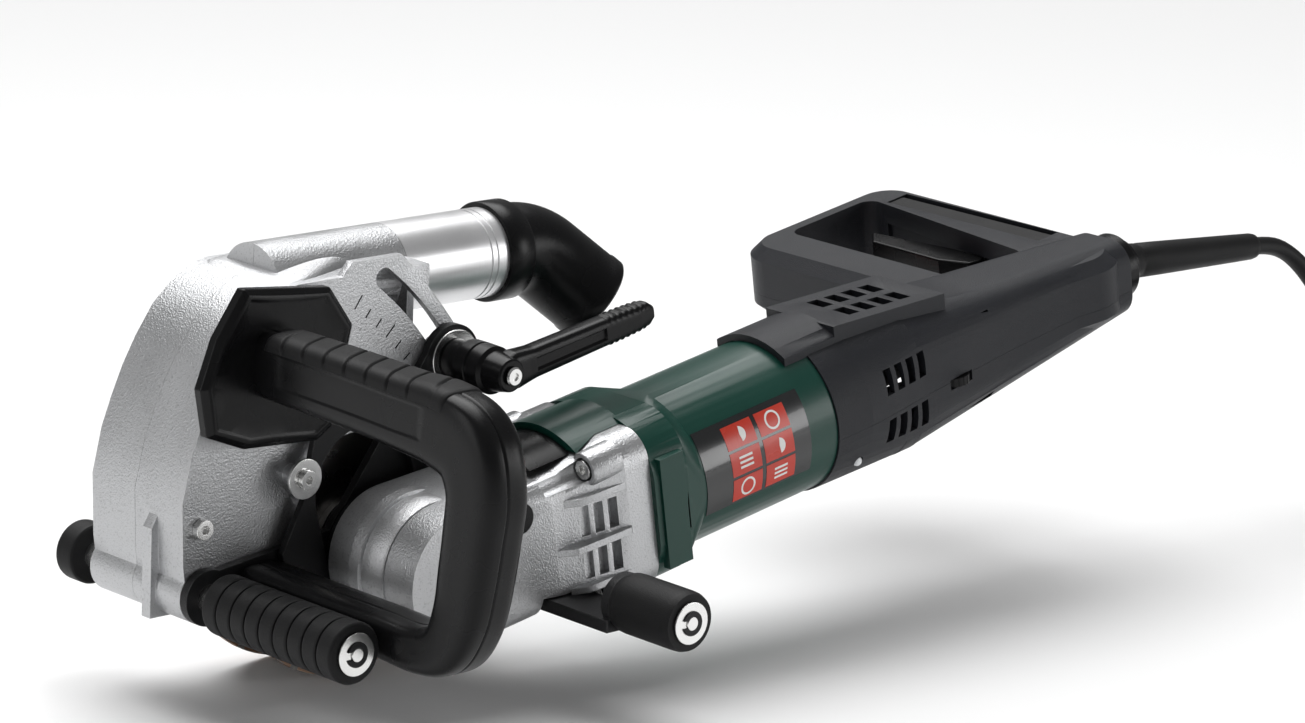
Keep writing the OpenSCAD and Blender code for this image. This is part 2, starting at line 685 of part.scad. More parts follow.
// ---------------------------------------------------------------- armature
module armature_shaft() { color("lightgray") seat() motor() {
    bar_x(6, 17, 28);
    bar_x(shaft_d, 28, 216);
    bar_x(7, 216, 226);
} }
module rotor() { color([0.5, 0.35, 0.2]) seat() motor() {
    ring_x(44, shaft_d, 130, 182);
    ring_x(34, shaft_d, 182, 192);
} }
module commutator() { color([0.72, 0.45, 0.2]) seat() motor() ring_x(27, shaft_d, 195, 213); }
module cooling_fan() { color([0.3, 0.3, 0.32]) seat() motor() {
    ring_x(20, shaft_d, 104, 116);
    for (k = [0:8]) rotate([40 * k, 0, 0]) translate([106, 8, -1]) cube([10, 20, 2]);
} }
module pinion() { color("gray") seat() motor() difference() {
    ring_x(12, 6, 17, 27);
    for (k = [0:pinion_teeth - 1]) rotate([360 * (k + 0.5) / pinion_teeth, 0, 0])
        translate([16, 4.4, -0.9]) cube([12, 3, 1.8]);
} }

// ---------------------------------------------------------------- controls
module clamp_stud() { color("gray") seat() {
    bar_y(8, 124, 159, stud);
    bar_y(17, hood_y0 + wall + gap, 158, stud);
    ring_y(26, 8.1, 143.4, 145.2, stud);
} }
module clamp_lever() { color([0.07, 0.07, 0.08]) seat() difference() {
    union() {
        bar_y(22, 118, 143, stud);
        side(107, 119) {
            translate([stud[0] + 8, stud[1] - 1]) circle(8);
            translate([stud[0], stud[1]]) circle(9);
            polygon([[stud[0] + 2, stud[1] + 8.6], [stud[0] + 80, stud[1] + 21], [stud[0] + 82, stud[1] + 9],
                [stud[0] + 9, stud[1] - 9]]);
            translate([stud[0] + 80.5, stud[1] + 15]) circle(6.2);
        }
    }
    bar_y(8.1, 123, 144, stud);
} }
module trigger() { color([0.1, 0.1, 0.1]) seat() motor() translate([0, 0, -6.8]) linear_extrude(13.6)
    polygon([[392, 116], [384, 108], [383, 62], [388, 46], [394, 44], [399, 46], [399, 60], [394, 116]]);
}
module lock_off_button() { color([0.75, 0.1, 0.05]) seat() motor() {
    translate([343, 78, -5.6]) cube([17, 22, 11.2]);
} }
module speed_wheel() { color([0.1, 0.1, 0.1]) seat() motor() {
    translate([300, -26, -9.6]) difference() {
        cylinder(d = 15, h = 4.2);
        for (k = [0:17]) rotate([0, 0, 20 * k]) translate([7.2, -0.5, -1]) cube([2, 1, 7]);
    }
} }
module spindle_lock() { color([0.05, 0.05, 0.05]) seat() {
    bar_y(lock_head, 72, 78, lock_at);
    bar_y(7.9, 77, 96, lock_at);
} }

gear_case();
gear_case_screws();
bearing_cover();
depth_arm();
arm_screws();
motor_housing();
exhaust_cover();
rating_label();
stator();
brush_holders();
motor_bearings();
handle_upper();
handle_lower();
handle_screws();
grip_inlay();
switch_block();
status_lens();
cable_collar();
cord_sleeve();
cord();
cord_coil();
cord_tie();
cord_plug();
hood_near();
hood_far();
hood_screws();
suction_duct();
roller_axles();
rear_carrier();
roller_washers();
axle_clips();
front_handle_base();
front_handle_left();
front_handle_right();
front_grip_pad();
neck_guard();
guard_screws();
duct_elbow();
front_roller_rings();
front_far_roller();
rear_near_roller();
rear_far_roller();
spindle();
crown_gear();
disc_near();
disc_far();
disc_flange();
disc_spacer();
disc_nut();
armature_shaft();
rotor();
commutator();
cooling_fan();
pinion();
clamp_stud();
clamp_lever();
trigger();
lock_off_button();
speed_wheel();
spindle_lock();
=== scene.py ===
import json
import math

import bmesh
import bpy
import numpy as np
from bpy.props import FloatProperty, FloatVectorProperty, IntProperty, PointerProperty
from mathutils import Matrix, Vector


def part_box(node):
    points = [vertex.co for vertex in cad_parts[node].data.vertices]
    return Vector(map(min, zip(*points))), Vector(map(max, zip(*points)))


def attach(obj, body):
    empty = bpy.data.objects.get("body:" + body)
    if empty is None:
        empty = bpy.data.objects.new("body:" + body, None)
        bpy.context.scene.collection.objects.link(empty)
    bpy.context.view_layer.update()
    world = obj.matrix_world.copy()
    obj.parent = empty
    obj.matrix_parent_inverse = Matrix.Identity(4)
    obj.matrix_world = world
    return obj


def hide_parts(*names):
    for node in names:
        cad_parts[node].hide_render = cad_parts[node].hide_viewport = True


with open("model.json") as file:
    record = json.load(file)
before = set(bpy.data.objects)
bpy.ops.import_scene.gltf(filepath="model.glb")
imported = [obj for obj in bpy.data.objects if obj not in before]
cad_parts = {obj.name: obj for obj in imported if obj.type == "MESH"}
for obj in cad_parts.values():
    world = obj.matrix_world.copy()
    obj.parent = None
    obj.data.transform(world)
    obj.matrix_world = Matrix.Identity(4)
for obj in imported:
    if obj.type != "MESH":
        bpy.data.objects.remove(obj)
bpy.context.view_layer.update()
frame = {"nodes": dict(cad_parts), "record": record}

bl_info = {
    "name": "Wall Chaser",
    "version": (1, 0, 0),
    "blender": (4, 5, 0),
    "location": "View3D > Sidebar > Wall Chaser",
    "description": "Builds the visible pieces of a wall chaser round its packed frame",
    "category": "Add Mesh",
}

MM = 0.001
RECORD = frame["record"]
BODY_OF = {node: body for body, nodes in RECORD["behaviour"]["bodies"].items() for node in nodes}
SLOT_OF = {part["node"]: part["material_slot"] for part in RECORD["subparts"]}


# ---------- places, read from the frame
def corners(node):
    """Lowest and highest corner of a CAD node at rest, as an array of two rows, in metres."""
    return np.array([list(corner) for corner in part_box(node)])


REAR_ROLLER = corners("rear_near_roller")
ZERO = np.array([REAR_ROLLER[:, 0].mean(), REAR_ROLLER[0, 1] - 0.2 * MM, REAR_ROLLER[:, 2].mean()])
SPINDLE = corners("spindle").mean(0)
MOTOR_PITCH = math.radians(10.5)
MOTOR_ALONG = np.array([math.cos(MOTOR_PITCH), 0.0, math.sin(MOTOR_PITCH)])
MOTOR_ACROSS = np.array([0.0, 1.0, 0.0])
MOTOR_UP = np.array([-math.sin(MOTOR_PITCH), 0.0, math.cos(MOTOR_PITCH)])
MOTOR_ZERO = np.array([SPINDLE[0], ZERO[1] + 106 * MM, SPINDLE[2]])


def from_axle(points):
    """Points in millimetres from the near end of the rear roller axle, as metres in the row frame."""
    return ZERO + np.asarray(points, float) * MM


def from_spindle(points):
    """Points in millimetres along, across and square to the motor axis, as metres in the row frame."""
    p = np.asarray(points, float) * MM
    return MOTOR_ZERO + p[..., :1] * MOTOR_ALONG + p[..., 1:2] * MOTOR_ACROSS + p[..., 2:3] * MOTOR_UP


# ---------- sizes and colours a user can change
def measure(label, text, value, low, high):
    """A length property with its name, description, default and limits."""
    return FloatProperty(name=label, description=text, default=value, min=low, max=high, unit="LENGTH")


class ChaserSizes(bpy.types.PropertyGroup):
    """Sizes of the details that the frame leaves open."""

    casting_round: measure("Casting rounding", "Rounding of the cast edges", 1.1 * MM, 0.2 * MM, 2 * MM)
    plastic_round: measure("Plastic rounding", "Rounding of the moulded edges", 1.4 * MM, 0.2 * MM, 3 * MM)
    groove_depth: measure("Groove depth", "Depth of the grooves between roller rings",
                          1.7 * MM, 0.5 * MM, 3 * MM)
    roller_rings: IntProperty(name="Roller rings", description="Rings on the near front roller",
                              default=9, min=4, max=12)
    cord_length: measure("Cord length", "Length of the mains cord", 4.0, 2.5, 5.0)
    cord_diameter: measure("Cord diameter", "Diameter of the mains cord", 9 * MM, 7 * MM, 10 * MM)


def tint(label, text, value):
    """A colour property with its name, description and default."""
    return FloatVectorProperty(name=label, description=text, subtype="COLOR", size=3, default=value,
                               min=0, max=1)


class ChaserColours(bpy.types.PropertyGroup):
    """Base colours of the finishes."""

    casting: tint("Casting", "Bead-blasted aluminium", (0.50, 0.505, 0.515))
    housing: tint("Motor housing", "Petrol green plastic", (0.004, 0.046, 0.033))
    shell: tint("Rear shells", "Glass-filled grey-black plastic", (0.017, 0.018, 0.022))
    black: tint("Black plastic", "Satin black plastic", (0.006, 0.006, 0.0065))
    rubber: tint("Rubber", "Moulded rubber", (0.008, 0.008, 0.0085))
    zinc: tint("Zinc", "Bright zinc-plated steel", (0.78, 0.78, 0.77))
    diamond: tint("Diamond rim", "Sintered rim of a disc", (0.40, 0.25, 0.17))
    signal: tint("Signal red", "Lock-off button and label squares", (0.62, 0.035, 0.012))


# ---------- node groups
def new_group(name, inputs, outputs):
    """An empty shader node group with its sockets; gives the group, its input node and its output node."""
    group = bpy.data.node_groups.new(name, "ShaderNodeTree")
    for label, value in inputs:
        socket = group.interface.new_socket(label, in_out="INPUT", socket_type="NodeSocketFloat")
        socket.default_value = value
    for label in outputs:
        group.interface.new_socket(label, in_out="OUTPUT", socket_type="NodeSocketFloat")
    return group, group.nodes.new("NodeGroupInput"), group.nodes.new("NodeGroupOutput")


def node(tree, kind, **settings):
    """A new node in a tree with its settings; keys that start with in_ set an input's default by name."""
    made = tree.nodes.new(kind)
    for key, value in settings.items():
        if key.startswith("in_"):
            made.inputs[key[3:].replace("_", " ")].default_value = value
        else:
            setattr(made, key, value)
    return made


def maths(tree, operation, first, second=None, third=None, clamp=False):
    """A Math node on its values, each a socket or a number; gives its output socket."""
    made = tree.nodes.new("ShaderNodeMath")
    made.operation = operation
    made.use_clamp = clamp
    for socket, value in zip(made.inputs, (first, second, third)):
        if isinstance(value, bpy.types.NodeSocket):
            tree.links.new(value, socket)
        elif value is not None:
            socket.default_value = value
    return made.outputs[0]


def edge_wear_group():
    """Edge wear: one where the surface turns sharply, broken up by noise, nought on flat stretches."""
    group, inside, outside = new_group("Edge Wear", [("Width", 0.8 * MM), ("Break Up", 0.5)], ["Mask"])
    link = group.links.new
    rounded = node(group, "ShaderNodeBevel", samples=4)
    flat = node(group, "ShaderNodeNewGeometry")
    link(inside.outputs["Width"], rounded.inputs["Radius"])
    product = node(group, "ShaderNodeVectorMath", operation="DOT_PRODUCT")
    link(rounded.outputs["Normal"], product.inputs[0])
    link(flat.outputs["Normal"], product.inputs[1])
    turned_by = maths(group, "SUBTRACT", 1.0, product.outputs["Value"])
    raised = maths(group, "MULTIPLY", turned_by, 6.0, clamp=True)
    place = node(group, "ShaderNodeTexCoord")
    noise = node(group, "ShaderNodeTexNoise", in_Scale=140.0, in_Detail=5.0)
    link(place.outputs["Object"], noise.inputs["Vector"])
    cut = maths(group, "SUBTRACT", noise.outputs["Fac"], inside.outputs["Break Up"])
    sharp = maths(group, "MULTIPLY_ADD", cut, 5.0, clamp=True)
    link(maths(group, "MULTIPLY", raised, sharp), outside.inputs["Mask"])
    return group


def grain_group():
    """Grain: a fine height from two sizes of noise, and a slow variation over the surface."""
    group, inside, outside = new_group("Grain", [("Scale", 900.0)], ["Height", "Variation", "Speckle"])
    link = group.links.new
    place = node(group, "ShaderNodeTexCoord")
    fine = node(group, "ShaderNodeTexNoise", in_Detail=3.0, in_Roughness=0.6)
    slow = node(group, "ShaderNodeTexNoise", in_Scale=28.0, in_Detail=3.0)
    cells = node(group, "ShaderNodeTexVoronoi", in_Randomness=1.0)
    for texture in (fine, slow, cells):
        link(place.outputs["Object"], texture.inputs["Vector"])
    link(inside.outputs["Scale"], fine.inputs["Scale"])
    link(maths(group, "MULTIPLY", inside.outputs["Scale"], 1.4), cells.inputs["Scale"])
    both = maths(group, "MULTIPLY_ADD", cells.outputs["Distance"], 0.5, 0.0)
    link(maths(group, "ADD", fine.outputs["Fac"], both), outside.inputs["Height"])
    link(slow.outputs["Fac"], outside.inputs["Variation"])
    speck = maths(group, "SUBTRACT", fine.outputs["Fac"], 0.56)
    link(maths(group, "MULTIPLY", speck, 9.0, clamp=True), outside.inputs["Speckle"])
    return group


def dust_group():
    """Dust: gathers on faces that look up, in soft patches."""
    group, inside, outside = new_group("Dust", [("Amount", 0.2)], ["Mask"])
    link = group.links.new
    place = node(group, "ShaderNodeTexCoord")
    shape = node(group, "ShaderNodeNewGeometry")
    split = node(group, "ShaderNodeSeparateXYZ")
    link(shape.outputs["Normal"], split.inputs[0])
    up = maths(group, "MULTIPLY_ADD", split.outputs["Z"], 0.7, 0.3, clamp=True)
    patches = node(group, "ShaderNodeTexNoise", in_Scale=46.0, in_Detail=6.0, in_Roughness=0.7)
    link(place.outputs["Object"], patches.inputs["Vector"])
    spread = maths(group, "MULTIPLY", maths(group, "SUBTRACT", patches.outputs["Fac"], 0.42), 3.0, clamp=True)
    link(maths(group, "MULTIPLY", maths(group, "MULTIPLY", up, spread), inside.outputs["Amount"]),
         outside.inputs["Mask"])
    return group


def lathe_group():
    """Lathe marks: fine rings along one axis of the piece, as a height."""
    group, inside, outside = new_group("Lathe Marks", [("Rings", 900.0), ("Across", 0.0)], ["Height"])
    link = group.links.new
    place = node(group, "ShaderNodeTexCoord")
    split = node(group, "ShaderNodeSeparateXYZ")
    link(place.outputs["Object"], split.inputs[0])
    along = node(group, "ShaderNodeMix", data_type="FLOAT")
    link(inside.outputs["Across"], along.inputs["Factor"])
    link(split.outputs["X"], along.inputs["A"])
    link(split.outputs["Y"], along.inputs["B"])
    lines = node(group, "ShaderNodeTexNoise", noise_dimensions="1D", in_Detail=2.0)
    link(along.outputs["Result"], lines.inputs["W"])
    link(inside.outputs["Rings"], lines.inputs["Scale"])
    link(lines.outputs["Fac"], outside.inputs["Height"])
    return group


# ---------- materials
FINISHES = {}
DUST_COLOUR = (0.55, 0.53, 0.5)
DUST_ROUGHNESS = 0.4
SPECK_SHADE = 0.45
ROUGHNESS_SWING = 0.22
BUMP_HEIGHT = 0.4 * MM


def finish_of(name, colour, roughness, metallic=0.0, grain=900.0, depth=0.05, spread=0.12, speckle=0.0,
              wear=0.35, worn=(0.35, 0.35, 0.35), dust=0.15, coat=0.0, lathe=None, specular=0.5):
    """A principled finish: a base colour that varies slowly and in specks, lighter worn edges, thin dust,
    roughness that varies with both, and a fine bump; lathe marks take the place of grain where given."""
    material = FINISHES[name] = bpy.data.materials.new(name + "_finish")
    material.use_nodes = True
    tree = material.node_tree
    tree.nodes.clear()
    link = tree.links.new
    out = node(tree, "ShaderNodeOutputMaterial")
    shader = node(tree, "ShaderNodeBsdfPrincipled", in_Metallic=metallic, in_Coat_Weight=coat,
                  in_Specular_IOR_Level=specular)
    link(shader.outputs[0], out.inputs["Surface"])
    grains = node(tree, "ShaderNodeGroup", node_tree=bpy.data.node_groups["Grain"])
    grains.inputs["Scale"].default_value = grain
    edges = node(tree, "ShaderNodeGroup", node_tree=bpy.data.node_groups["Edge Wear"])
    dusty = node(tree, "ShaderNodeGroup", node_tree=bpy.data.node_groups["Dust"])
    dusty.inputs["Amount"].default_value = dust
    dark = [channel * (1 - spread) for channel in colour]
    light = [min(1.0, channel * (1 + spread)) for channel in colour]
    specks = [channel * SPECK_SHADE for channel in colour]
    base = None
    layers = [(grains.outputs["Variation"], light, 1.0), (grains.outputs["Speckle"], specks, speckle),
              (edges.outputs["Mask"], worn, wear), (dusty.outputs["Mask"], DUST_COLOUR, 1.0)]
    for mask, on_top, amount in layers:
        mix = node(tree, "ShaderNodeMix", data_type="RGBA")
        link(maths(tree, "MULTIPLY", mask, amount), mix.inputs["Factor"])
        if base:
            link(base, mix.inputs["A"])
        else:
            mix.inputs["A"].default_value = (*dark, 1)
        mix.inputs["B"].default_value = (*on_top, 1)
        base = mix.outputs["Result"]
    link(base, shader.inputs["Base Color"])
    wander = maths(tree, "MULTIPLY_ADD", grains.outputs["Variation"], ROUGHNESS_SWING,
                   roughness - ROUGHNESS_SWING / 2)
    dulled = maths(tree, "MULTIPLY", dusty.outputs["Mask"], DUST_ROUGHNESS)
    link(maths(tree, "ADD", wander, dulled, clamp=True), shader.inputs["Roughness"])
    bump = node(tree, "ShaderNodeBump", in_Strength=depth, in_Distance=BUMP_HEIGHT)
    if lathe is None:
        link(grains.outputs["Height"], bump.inputs["Height"])
    else:
        marks = node(tree, "ShaderNodeGroup", node_tree=bpy.data.node_groups["Lathe Marks"])
        marks.inputs["Across"].default_value = lathe
        link(marks.outputs["Height"], bump.inputs["Height"])
    link(bump.outputs[0], shader.inputs["Normal"])
    return material


def make_finishes():
    """All finishes by the record's slot names, and the few that only details use."""
    colours = bpy.context.scene.chaser_colours
    edge_wear_group()
    grain_group()
    dust_group()
    lathe_group()
    black, rubber, zinc = tuple(colours.black), tuple(colours.rubber), tuple(colours.zinc)
    signal = tuple(colours.signal)
    pale_wear = (0.9, 0.9, 0.9)
    finish_of("cast", tuple(colours.casting), 0.38, metallic=0.86, grain=900, depth=0.55, spread=0.06,
              speckle=0.42, wear=0.35, worn=pale_wear, dust=0.04)
    finish_of("turned", (0.80, 0.80, 0.81), 0.33, metallic=0.75, depth=0.10, spread=0.03, speckle=0.05,
              wear=0.3, worn=pale_wear, dust=0.03, lathe=0.0)
    finish_of("steel", zinc, 0.24, metallic=1.0, grain=2000, depth=0.04, spread=0.08, wear=0.3,
              worn=pale_wear, dust=0.03)
    finish_of("tool_steel", (0.42, 0.41, 0.40), 0.30, metallic=1.0, depth=0.10, spread=0.12, speckle=0.1,
              wear=0.4, worn=(0.7, 0.7, 0.7), dust=0.1, lathe=1.0)
    finish_of("diamond", tuple(colours.diamond), 0.46, metallic=0.7, grain=1600, depth=0.6, spread=0.2,
              speckle=0.45, wear=0.5, worn=(0.62, 0.5, 0.42), dust=0.2)
    finish_of("black", black, 0.27, grain=1900, depth=0.12, wear=0.10, worn=(0.05, 0.05, 0.05), dust=0.004,
              specular=0.17)
    finish_of("graphite", tuple(colours.shell), 0.44, grain=1700, depth=0.45, wear=0.15,
              worn=(0.08, 0.08, 0.09), dust=0.004, speckle=0.2, specular=0.24)
    finish_of("green", tuple(colours.housing), 0.32, grain=2100, depth=0.10, wear=0.15,
              worn=(0.03, 0.12, 0.10), dust=0.006, coat=0.05, specular=0.35)
    finish_of("rubber", rubber, 0.52, grain=1500, depth=0.25, wear=0.2, worn=(0.04, 0.04, 0.04), dust=0.006,
              specular=0.18)
    finish_of("label", (0.012, 0.013, 0.014), 0.22, grain=2500, depth=0.02, wear=0.0, dust=0.02, coat=0.3)
    finish_of("red", signal, 0.30, grain=2100, depth=0.06, wear=0.1, worn=(0.8, 0.25, 0.2), dust=0.02)
    finish_of("label_red", (0.56, 0.035, 0.016), 0.30, grain=2500, depth=0.02, wear=0.0, dust=0.02)
    finish_of("label_white", (0.82, 0.82, 0.80), 0.35, grain=2500, depth=0.02, wear=0.0, dust=0.02)
    finish_of("copper", (0.75, 0.42, 0.24), 0.30, metallic=1.0, grain=1200, depth=0.2, wear=0.3,
              worn=(0.9, 0.6, 0.4), dust=0.05)
    finish_of("lens", (0.82, 0.84, 0.86), 0.12, grain=2500, depth=0.02, wear=0.0, dust=0.02, coat=0.6)
    finish_of("cord", rubber, 0.48, grain=1800, depth=0.15, wear=0.0, dust=0.006, specular=0.2)
    finish_of("powder", (0.010, 0.010, 0.011), 0.40, grain=1500, depth=0.35, wear=0.45,
              worn=(0.20, 0.20, 0.20), dust=0.01, specular=0.22)


# ---------- mesh making
def skin(grid, wrap_rings=False, wrap_round=True, caps=True):
    """Four-sided faces between neighbouring points of a grid of rings; the rings and the points round a
    ring may join up, and caps close the ends of an open run of rings."""
    rings, count = grid.shape[:2]
    index = np.arange(rings * count).reshape(rings, count)
    near = index if wrap_rings else index[:-1]
    far = np.roll(index, -1, 0) if wrap_rings else index[1:]
    if wrap_round:
        faces = np.stack([near, np.roll(near, -1, 1), np.roll(far, -1, 1), far], -1)
    else:
        faces = np.stack([near[:, :-1], near[:, 1:], far[:, 1:], far[:, :-1]], -1)
    faces = faces.reshape(-1, 4).tolist()
    if caps and not wrap_rings:
        faces += [index[0, ::-1].tolist(), index[-1].tolist()]
    return grid.reshape(-1, 3), faces


def joined(parts):
    """One list of points and faces from several."""
    points, faces, start = [], [], 0
    for some_points, some_faces in parts:
        points.append(some_points)
        faces += [[corner + start for corner in face] for face in some_faces]
        start += len(some_points)
    return np.concatenate(points), faces


def settle(piece, body, replaced, slot):
    """Puts a piece on its body, hides the CAD nodes that it stands for and gives it its slot's finish."""
    piece.data.materials.clear()
    piece.data.materials.append(FINISHES[slot])
    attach(piece, body)
    if replaced:
        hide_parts(*replaced)
    return piece


def smooth_by_angle(mesh, degrees):
    """Shades a mesh smooth, and leaves the edges that turn by more than the angle sharp."""
    mesh.shade_smooth()
    mesh.set_sharp_from_angle(angle=math.radians(degrees))


def rounded_edges(piece, width, degrees, segments=2):
    """Bevels the edges that turn by more than the angle, with normals that keep flat faces flat."""
    bevel = piece.modifiers.new("Edges", "BEVEL")
    bevel.width = width
    bevel.segments = segments
    bevel.limit_method = "ANGLE"
    bevel.angle_limit = math.radians(degrees)
    bevel.miter_outer = "MITER_ARC"
    bevel.harden_normals = True


def add_piece(name, made, slot, body, replaced=(), angle=40, edge=0.0):
    """A new mesh object from points and faces, with its faces turned outwards."""
    points, faces = made
    mesh = bpy.data.meshes.new(name)
    mesh.from_pydata(np.asarray(points).tolist(), [], faces)
    work = bmesh.new()
    work.from_mesh(mesh)
    bmesh.ops.remove_doubles(work, verts=work.verts, dist=1e-6)
    bmesh.ops.recalc_face_normals(work, faces=work.faces)
    work.to_mesh(mesh)
    work.free()
    smooth_by_angle(mesh, angle)
    piece = bpy.data.objects.new(name, mesh)
    bpy.context.scene.collection.objects.link(piece)
    if edge:
        rounded_edges(piece, edge, angle)
    return settle(piece, body, replaced, slot)


def finished_copy(node_name, width, degrees=28, segments=2, slot=None):
    """A merged copy of a CAD node whose flat faces are joined and whose edges are rounded over."""
    mesh = frame["nodes"][node_name].data.copy()
    mesh.name = node_name + "_skin"
    work = bmesh.new()
    work.from_mesh(mesh)
    bmesh.ops.remove_doubles(work, verts=work.verts, dist=0.004 * MM)
    bmesh.ops.dissolve_degenerate(work, edges=work.edges, dist=0.01 * MM)
    bmesh.ops.dissolve_limit(work, angle_limit=math.radians(1.2), verts=work.verts, edges=work.edges)
    work.to_mesh(mesh)
    work.free()
    smooth_by_angle(mesh, degrees)
    piece = bpy.data.objects.new(node_name + "_finish", mesh)
    bpy.context.scene.collection.objects.link(piece)
    if width:
        rounded_edges(piece, width, degrees, segments)
    return settle(piece, BODY_OF[node_name], [node_name], slot or SLOT_OF[node_name])


def turned(profile, centre, axis, steps=96, closed=True):
    """A surface of revolution: each profile point, a distance along the axis and a radius in millimetres,
    goes once round the axis; a closed profile joins its end to its start."""
    profile = np.asarray(profile, float) * MM
    axis = np.asarray(axis, float) / np.linalg.norm(axis)
    first = np.cross(axis, [0.0, 0.0, 1.0])
    first /= np.linalg.norm(first)
    second = np.cross(axis, first)
    angle = np.linspace(0, 2 * math.pi, steps, endpoint=False)
    round_it = np.cos(angle)[:, None] * first + np.sin(angle)[:, None] * second
    grid = np.asarray(centre) + profile[:, 0, None, None] * axis + profile[:, 1, None, None] * round_it
    return skin(grid, wrap_rings=closed)


def curve_through(points, count):
    """A Catmull-Rom curve through points, sampled evenly in its parameter."""
    p = np.asarray(points, float)
    padded = np.concatenate([2 * p[:1] - p[1:2], p, 2 * p[-1:] - p[-2:-1]])
    place = np.linspace(0, len(p) - 1, count)
    k = np.minimum(place.astype(int), len(p) - 2)
    t = (place - k)[:, None]
    a, b, c, d = padded[k], padded[k + 1], padded[k + 2], padded[k + 3]
    return 0.5 * (2 * b + (c - a) * t + (2 * a - 5 * b + 4 * c - d) * t**2 + (3 * b - a - 3 * c + d) * t**3)


def superellipse(power, count, start=0.0, stop=2 * math.pi, whole=True):
    """Points of a rounded square of half size one, evenly spaced along its outline; the outline's points
    are signed powers of the cosine and the sine of an angle."""
    angle = np.linspace(start, stop, 6001)
    shape = np.stack([np.cos(angle), np.sin(angle)], -1)
    shape = np.sign(shape) * np.abs(shape) ** (2 / power)
    run = np.concatenate([[0], np.cumsum(np.linalg.norm(np.diff(shape, axis=0), axis=1))])
    place = np.linspace(0, run[-1], count, endpoint=not whole)
    return np.stack([np.interp(place, run, shape[:, k]) for k in (0, 1)], -1), np.interp(place, run, angle)


# ---------- stage
CAMERA_AT = (-1.53276, -1.57926, 0.67777)
CAMERA_TURN = -43.617
CAMERA_RISE = 14.051
CAMERA_ROLL = 2.454
CAMERA_LENS = 138.47
LIGHTS_MEET = (0.0, 0.0, 0.1)
WORLD_STRENGTH = 0.20
FLOOR_SIDE = 6.0


def put(name, data, right, up, back, place=(0.0, 0.0, 0.0)):
    """A new object that looks away from its back direction, with its right and up directions, at a place."""
    made = bpy.data.objects.new(name, data)
    bpy.context.scene.collection.objects.link(made)
    matrix = Matrix(np.stack([right, up, back], -1).tolist()).to_4x4()
    matrix.translation = place
    made.matrix_world = matrix
    return made


def place_camera():
    """A long lens that looks along the direction of its turn and rise, rolled a little."""
    turn, rise, roll = (math.radians(a) for a in (CAMERA_TURN, CAMERA_RISE, CAMERA_ROLL))
    back = np.array([math.sin(turn) * math.cos(rise), -math.cos(turn) * math.cos(rise), math.sin(rise)])
    right = np.cross(-back, [0.0, 0.0, 1.0])
    right /= np.linalg.norm(right)
    up = np.cross(back, right)
    data = bpy.data.cameras.new("Camera")
    data.lens = CAMERA_LENS
    data.sensor_width = 36.0
    data.sensor_fit = "HORIZONTAL"
    data.clip_end = 60.0
    across = math.cos(roll) * right + math.sin(roll) * up
    upward = -math.sin(roll) * right + math.cos(roll) * up
    bpy.context.scene.camera = put("Camera", data, across, upward, back, CAMERA_AT)


def area_light(name, place, size, power, target=LIGHTS_MEET):
    """A large rectangular light at a place, turned to its target."""
    data = bpy.data.lights.new(name, "AREA")
    data.shape = "RECTANGLE"
    data.size, data.size_y = size
    data.energy = power
    back = np.subtract(place, target)
    back /= np.linalg.norm(back)
    right = np.cross([0.0, 0.0, 1.0], back)
    right /= np.linalg.norm(right)
    put(name, data, right, np.cross(back, right), back, place)


def sky_light(name, towards, strength, degrees):
    """A very wide sun that lights the floor evenly and leaves soft shadows."""
    data = bpy.data.lights.new(name, "SUN")
    data.energy = strength
    data.angle = math.radians(degrees)
    back = np.array(towards) / np.linalg.norm(towards)
    right = np.cross([0.0, 1.0, 0.0], back)
    right /= np.linalg.norm(right)
    put(name, data, right, np.cross(back, right), back)


class CHASER_OT_stage(bpy.types.Operator):
    """Camera, soft lights and a plain pale floor"""

    bl_idname = "chaser.stage"
    bl_label = "Stage"

    def execute(self, context):
        place_camera()
        scene = context.scene
        scene.view_settings.view_transform = "Standard"
        scene.view_settings.look = "None"
        world = bpy.data.worlds.new("Studio")
        world.use_nodes = True
        background = world.node_tree.nodes["Background"]
        background.inputs["Color"].default_value = (1.0, 1.0, 1.0, 1.0)
        background.inputs["Strength"].default_value = WORLD_STRENGTH
        scene.world = world
        sky_light("Overhead", (0.15, 0.45, 1.0), 2.5, 60.0)
        area_light("Top softbox", (0.1, 0.6, 1.5), (1.5, 0.8), 9.0)
        area_light("Left softbox", (-1.5, 0.5, 0.6), (0.6, 1.0), 4.0)
        area_light("Right softbox", (1.3, -1.5, 0.5), (0.7, 0.7), 8.0, (0.05, 0.0, 0.1))
        line = np.linspace(-FLOOR_SIDE, FLOOR_SIDE, 5)
        u, v = np.meshgrid(line, line, indexing="ij")
        points, faces = skin(np.stack([u, v, 0 * u], -1), wrap_round=False, caps=False)
        mesh = bpy.data.meshes.new("floor")
        mesh.from_pydata(points.tolist(), [], faces)
        floor = bpy.data.objects.new("floor", mesh)
        scene.collection.objects.link(floor)
        paper = bpy.data.materials.new("floor")
        paper.use_nodes = True
        shader = paper.node_tree.nodes["Principled BSDF"]
        noise = node(paper.node_tree, "ShaderNodeTexNoise", in_Scale=3.0)
        ramp = node(paper.node_tree, "ShaderNodeMix", data_type="RGBA")
        ramp.inputs["A"].default_value = (0.86, 0.86, 0.86, 1)
        ramp.inputs["B"].default_value = (0.90, 0.90, 0.90, 1)
        paper.node_tree.links.new(noise.outputs["Fac"], ramp.inputs["Factor"])
        paper.node_tree.links.new(ramp.outputs["Result"], shader.inputs["Base Color"])
        shader.inputs["Roughness"].default_value = 0.9
        shader.inputs["Specular IOR Level"].default_value = 0.1
        mesh.materials.append(paper)
        return {"FINISHED"}


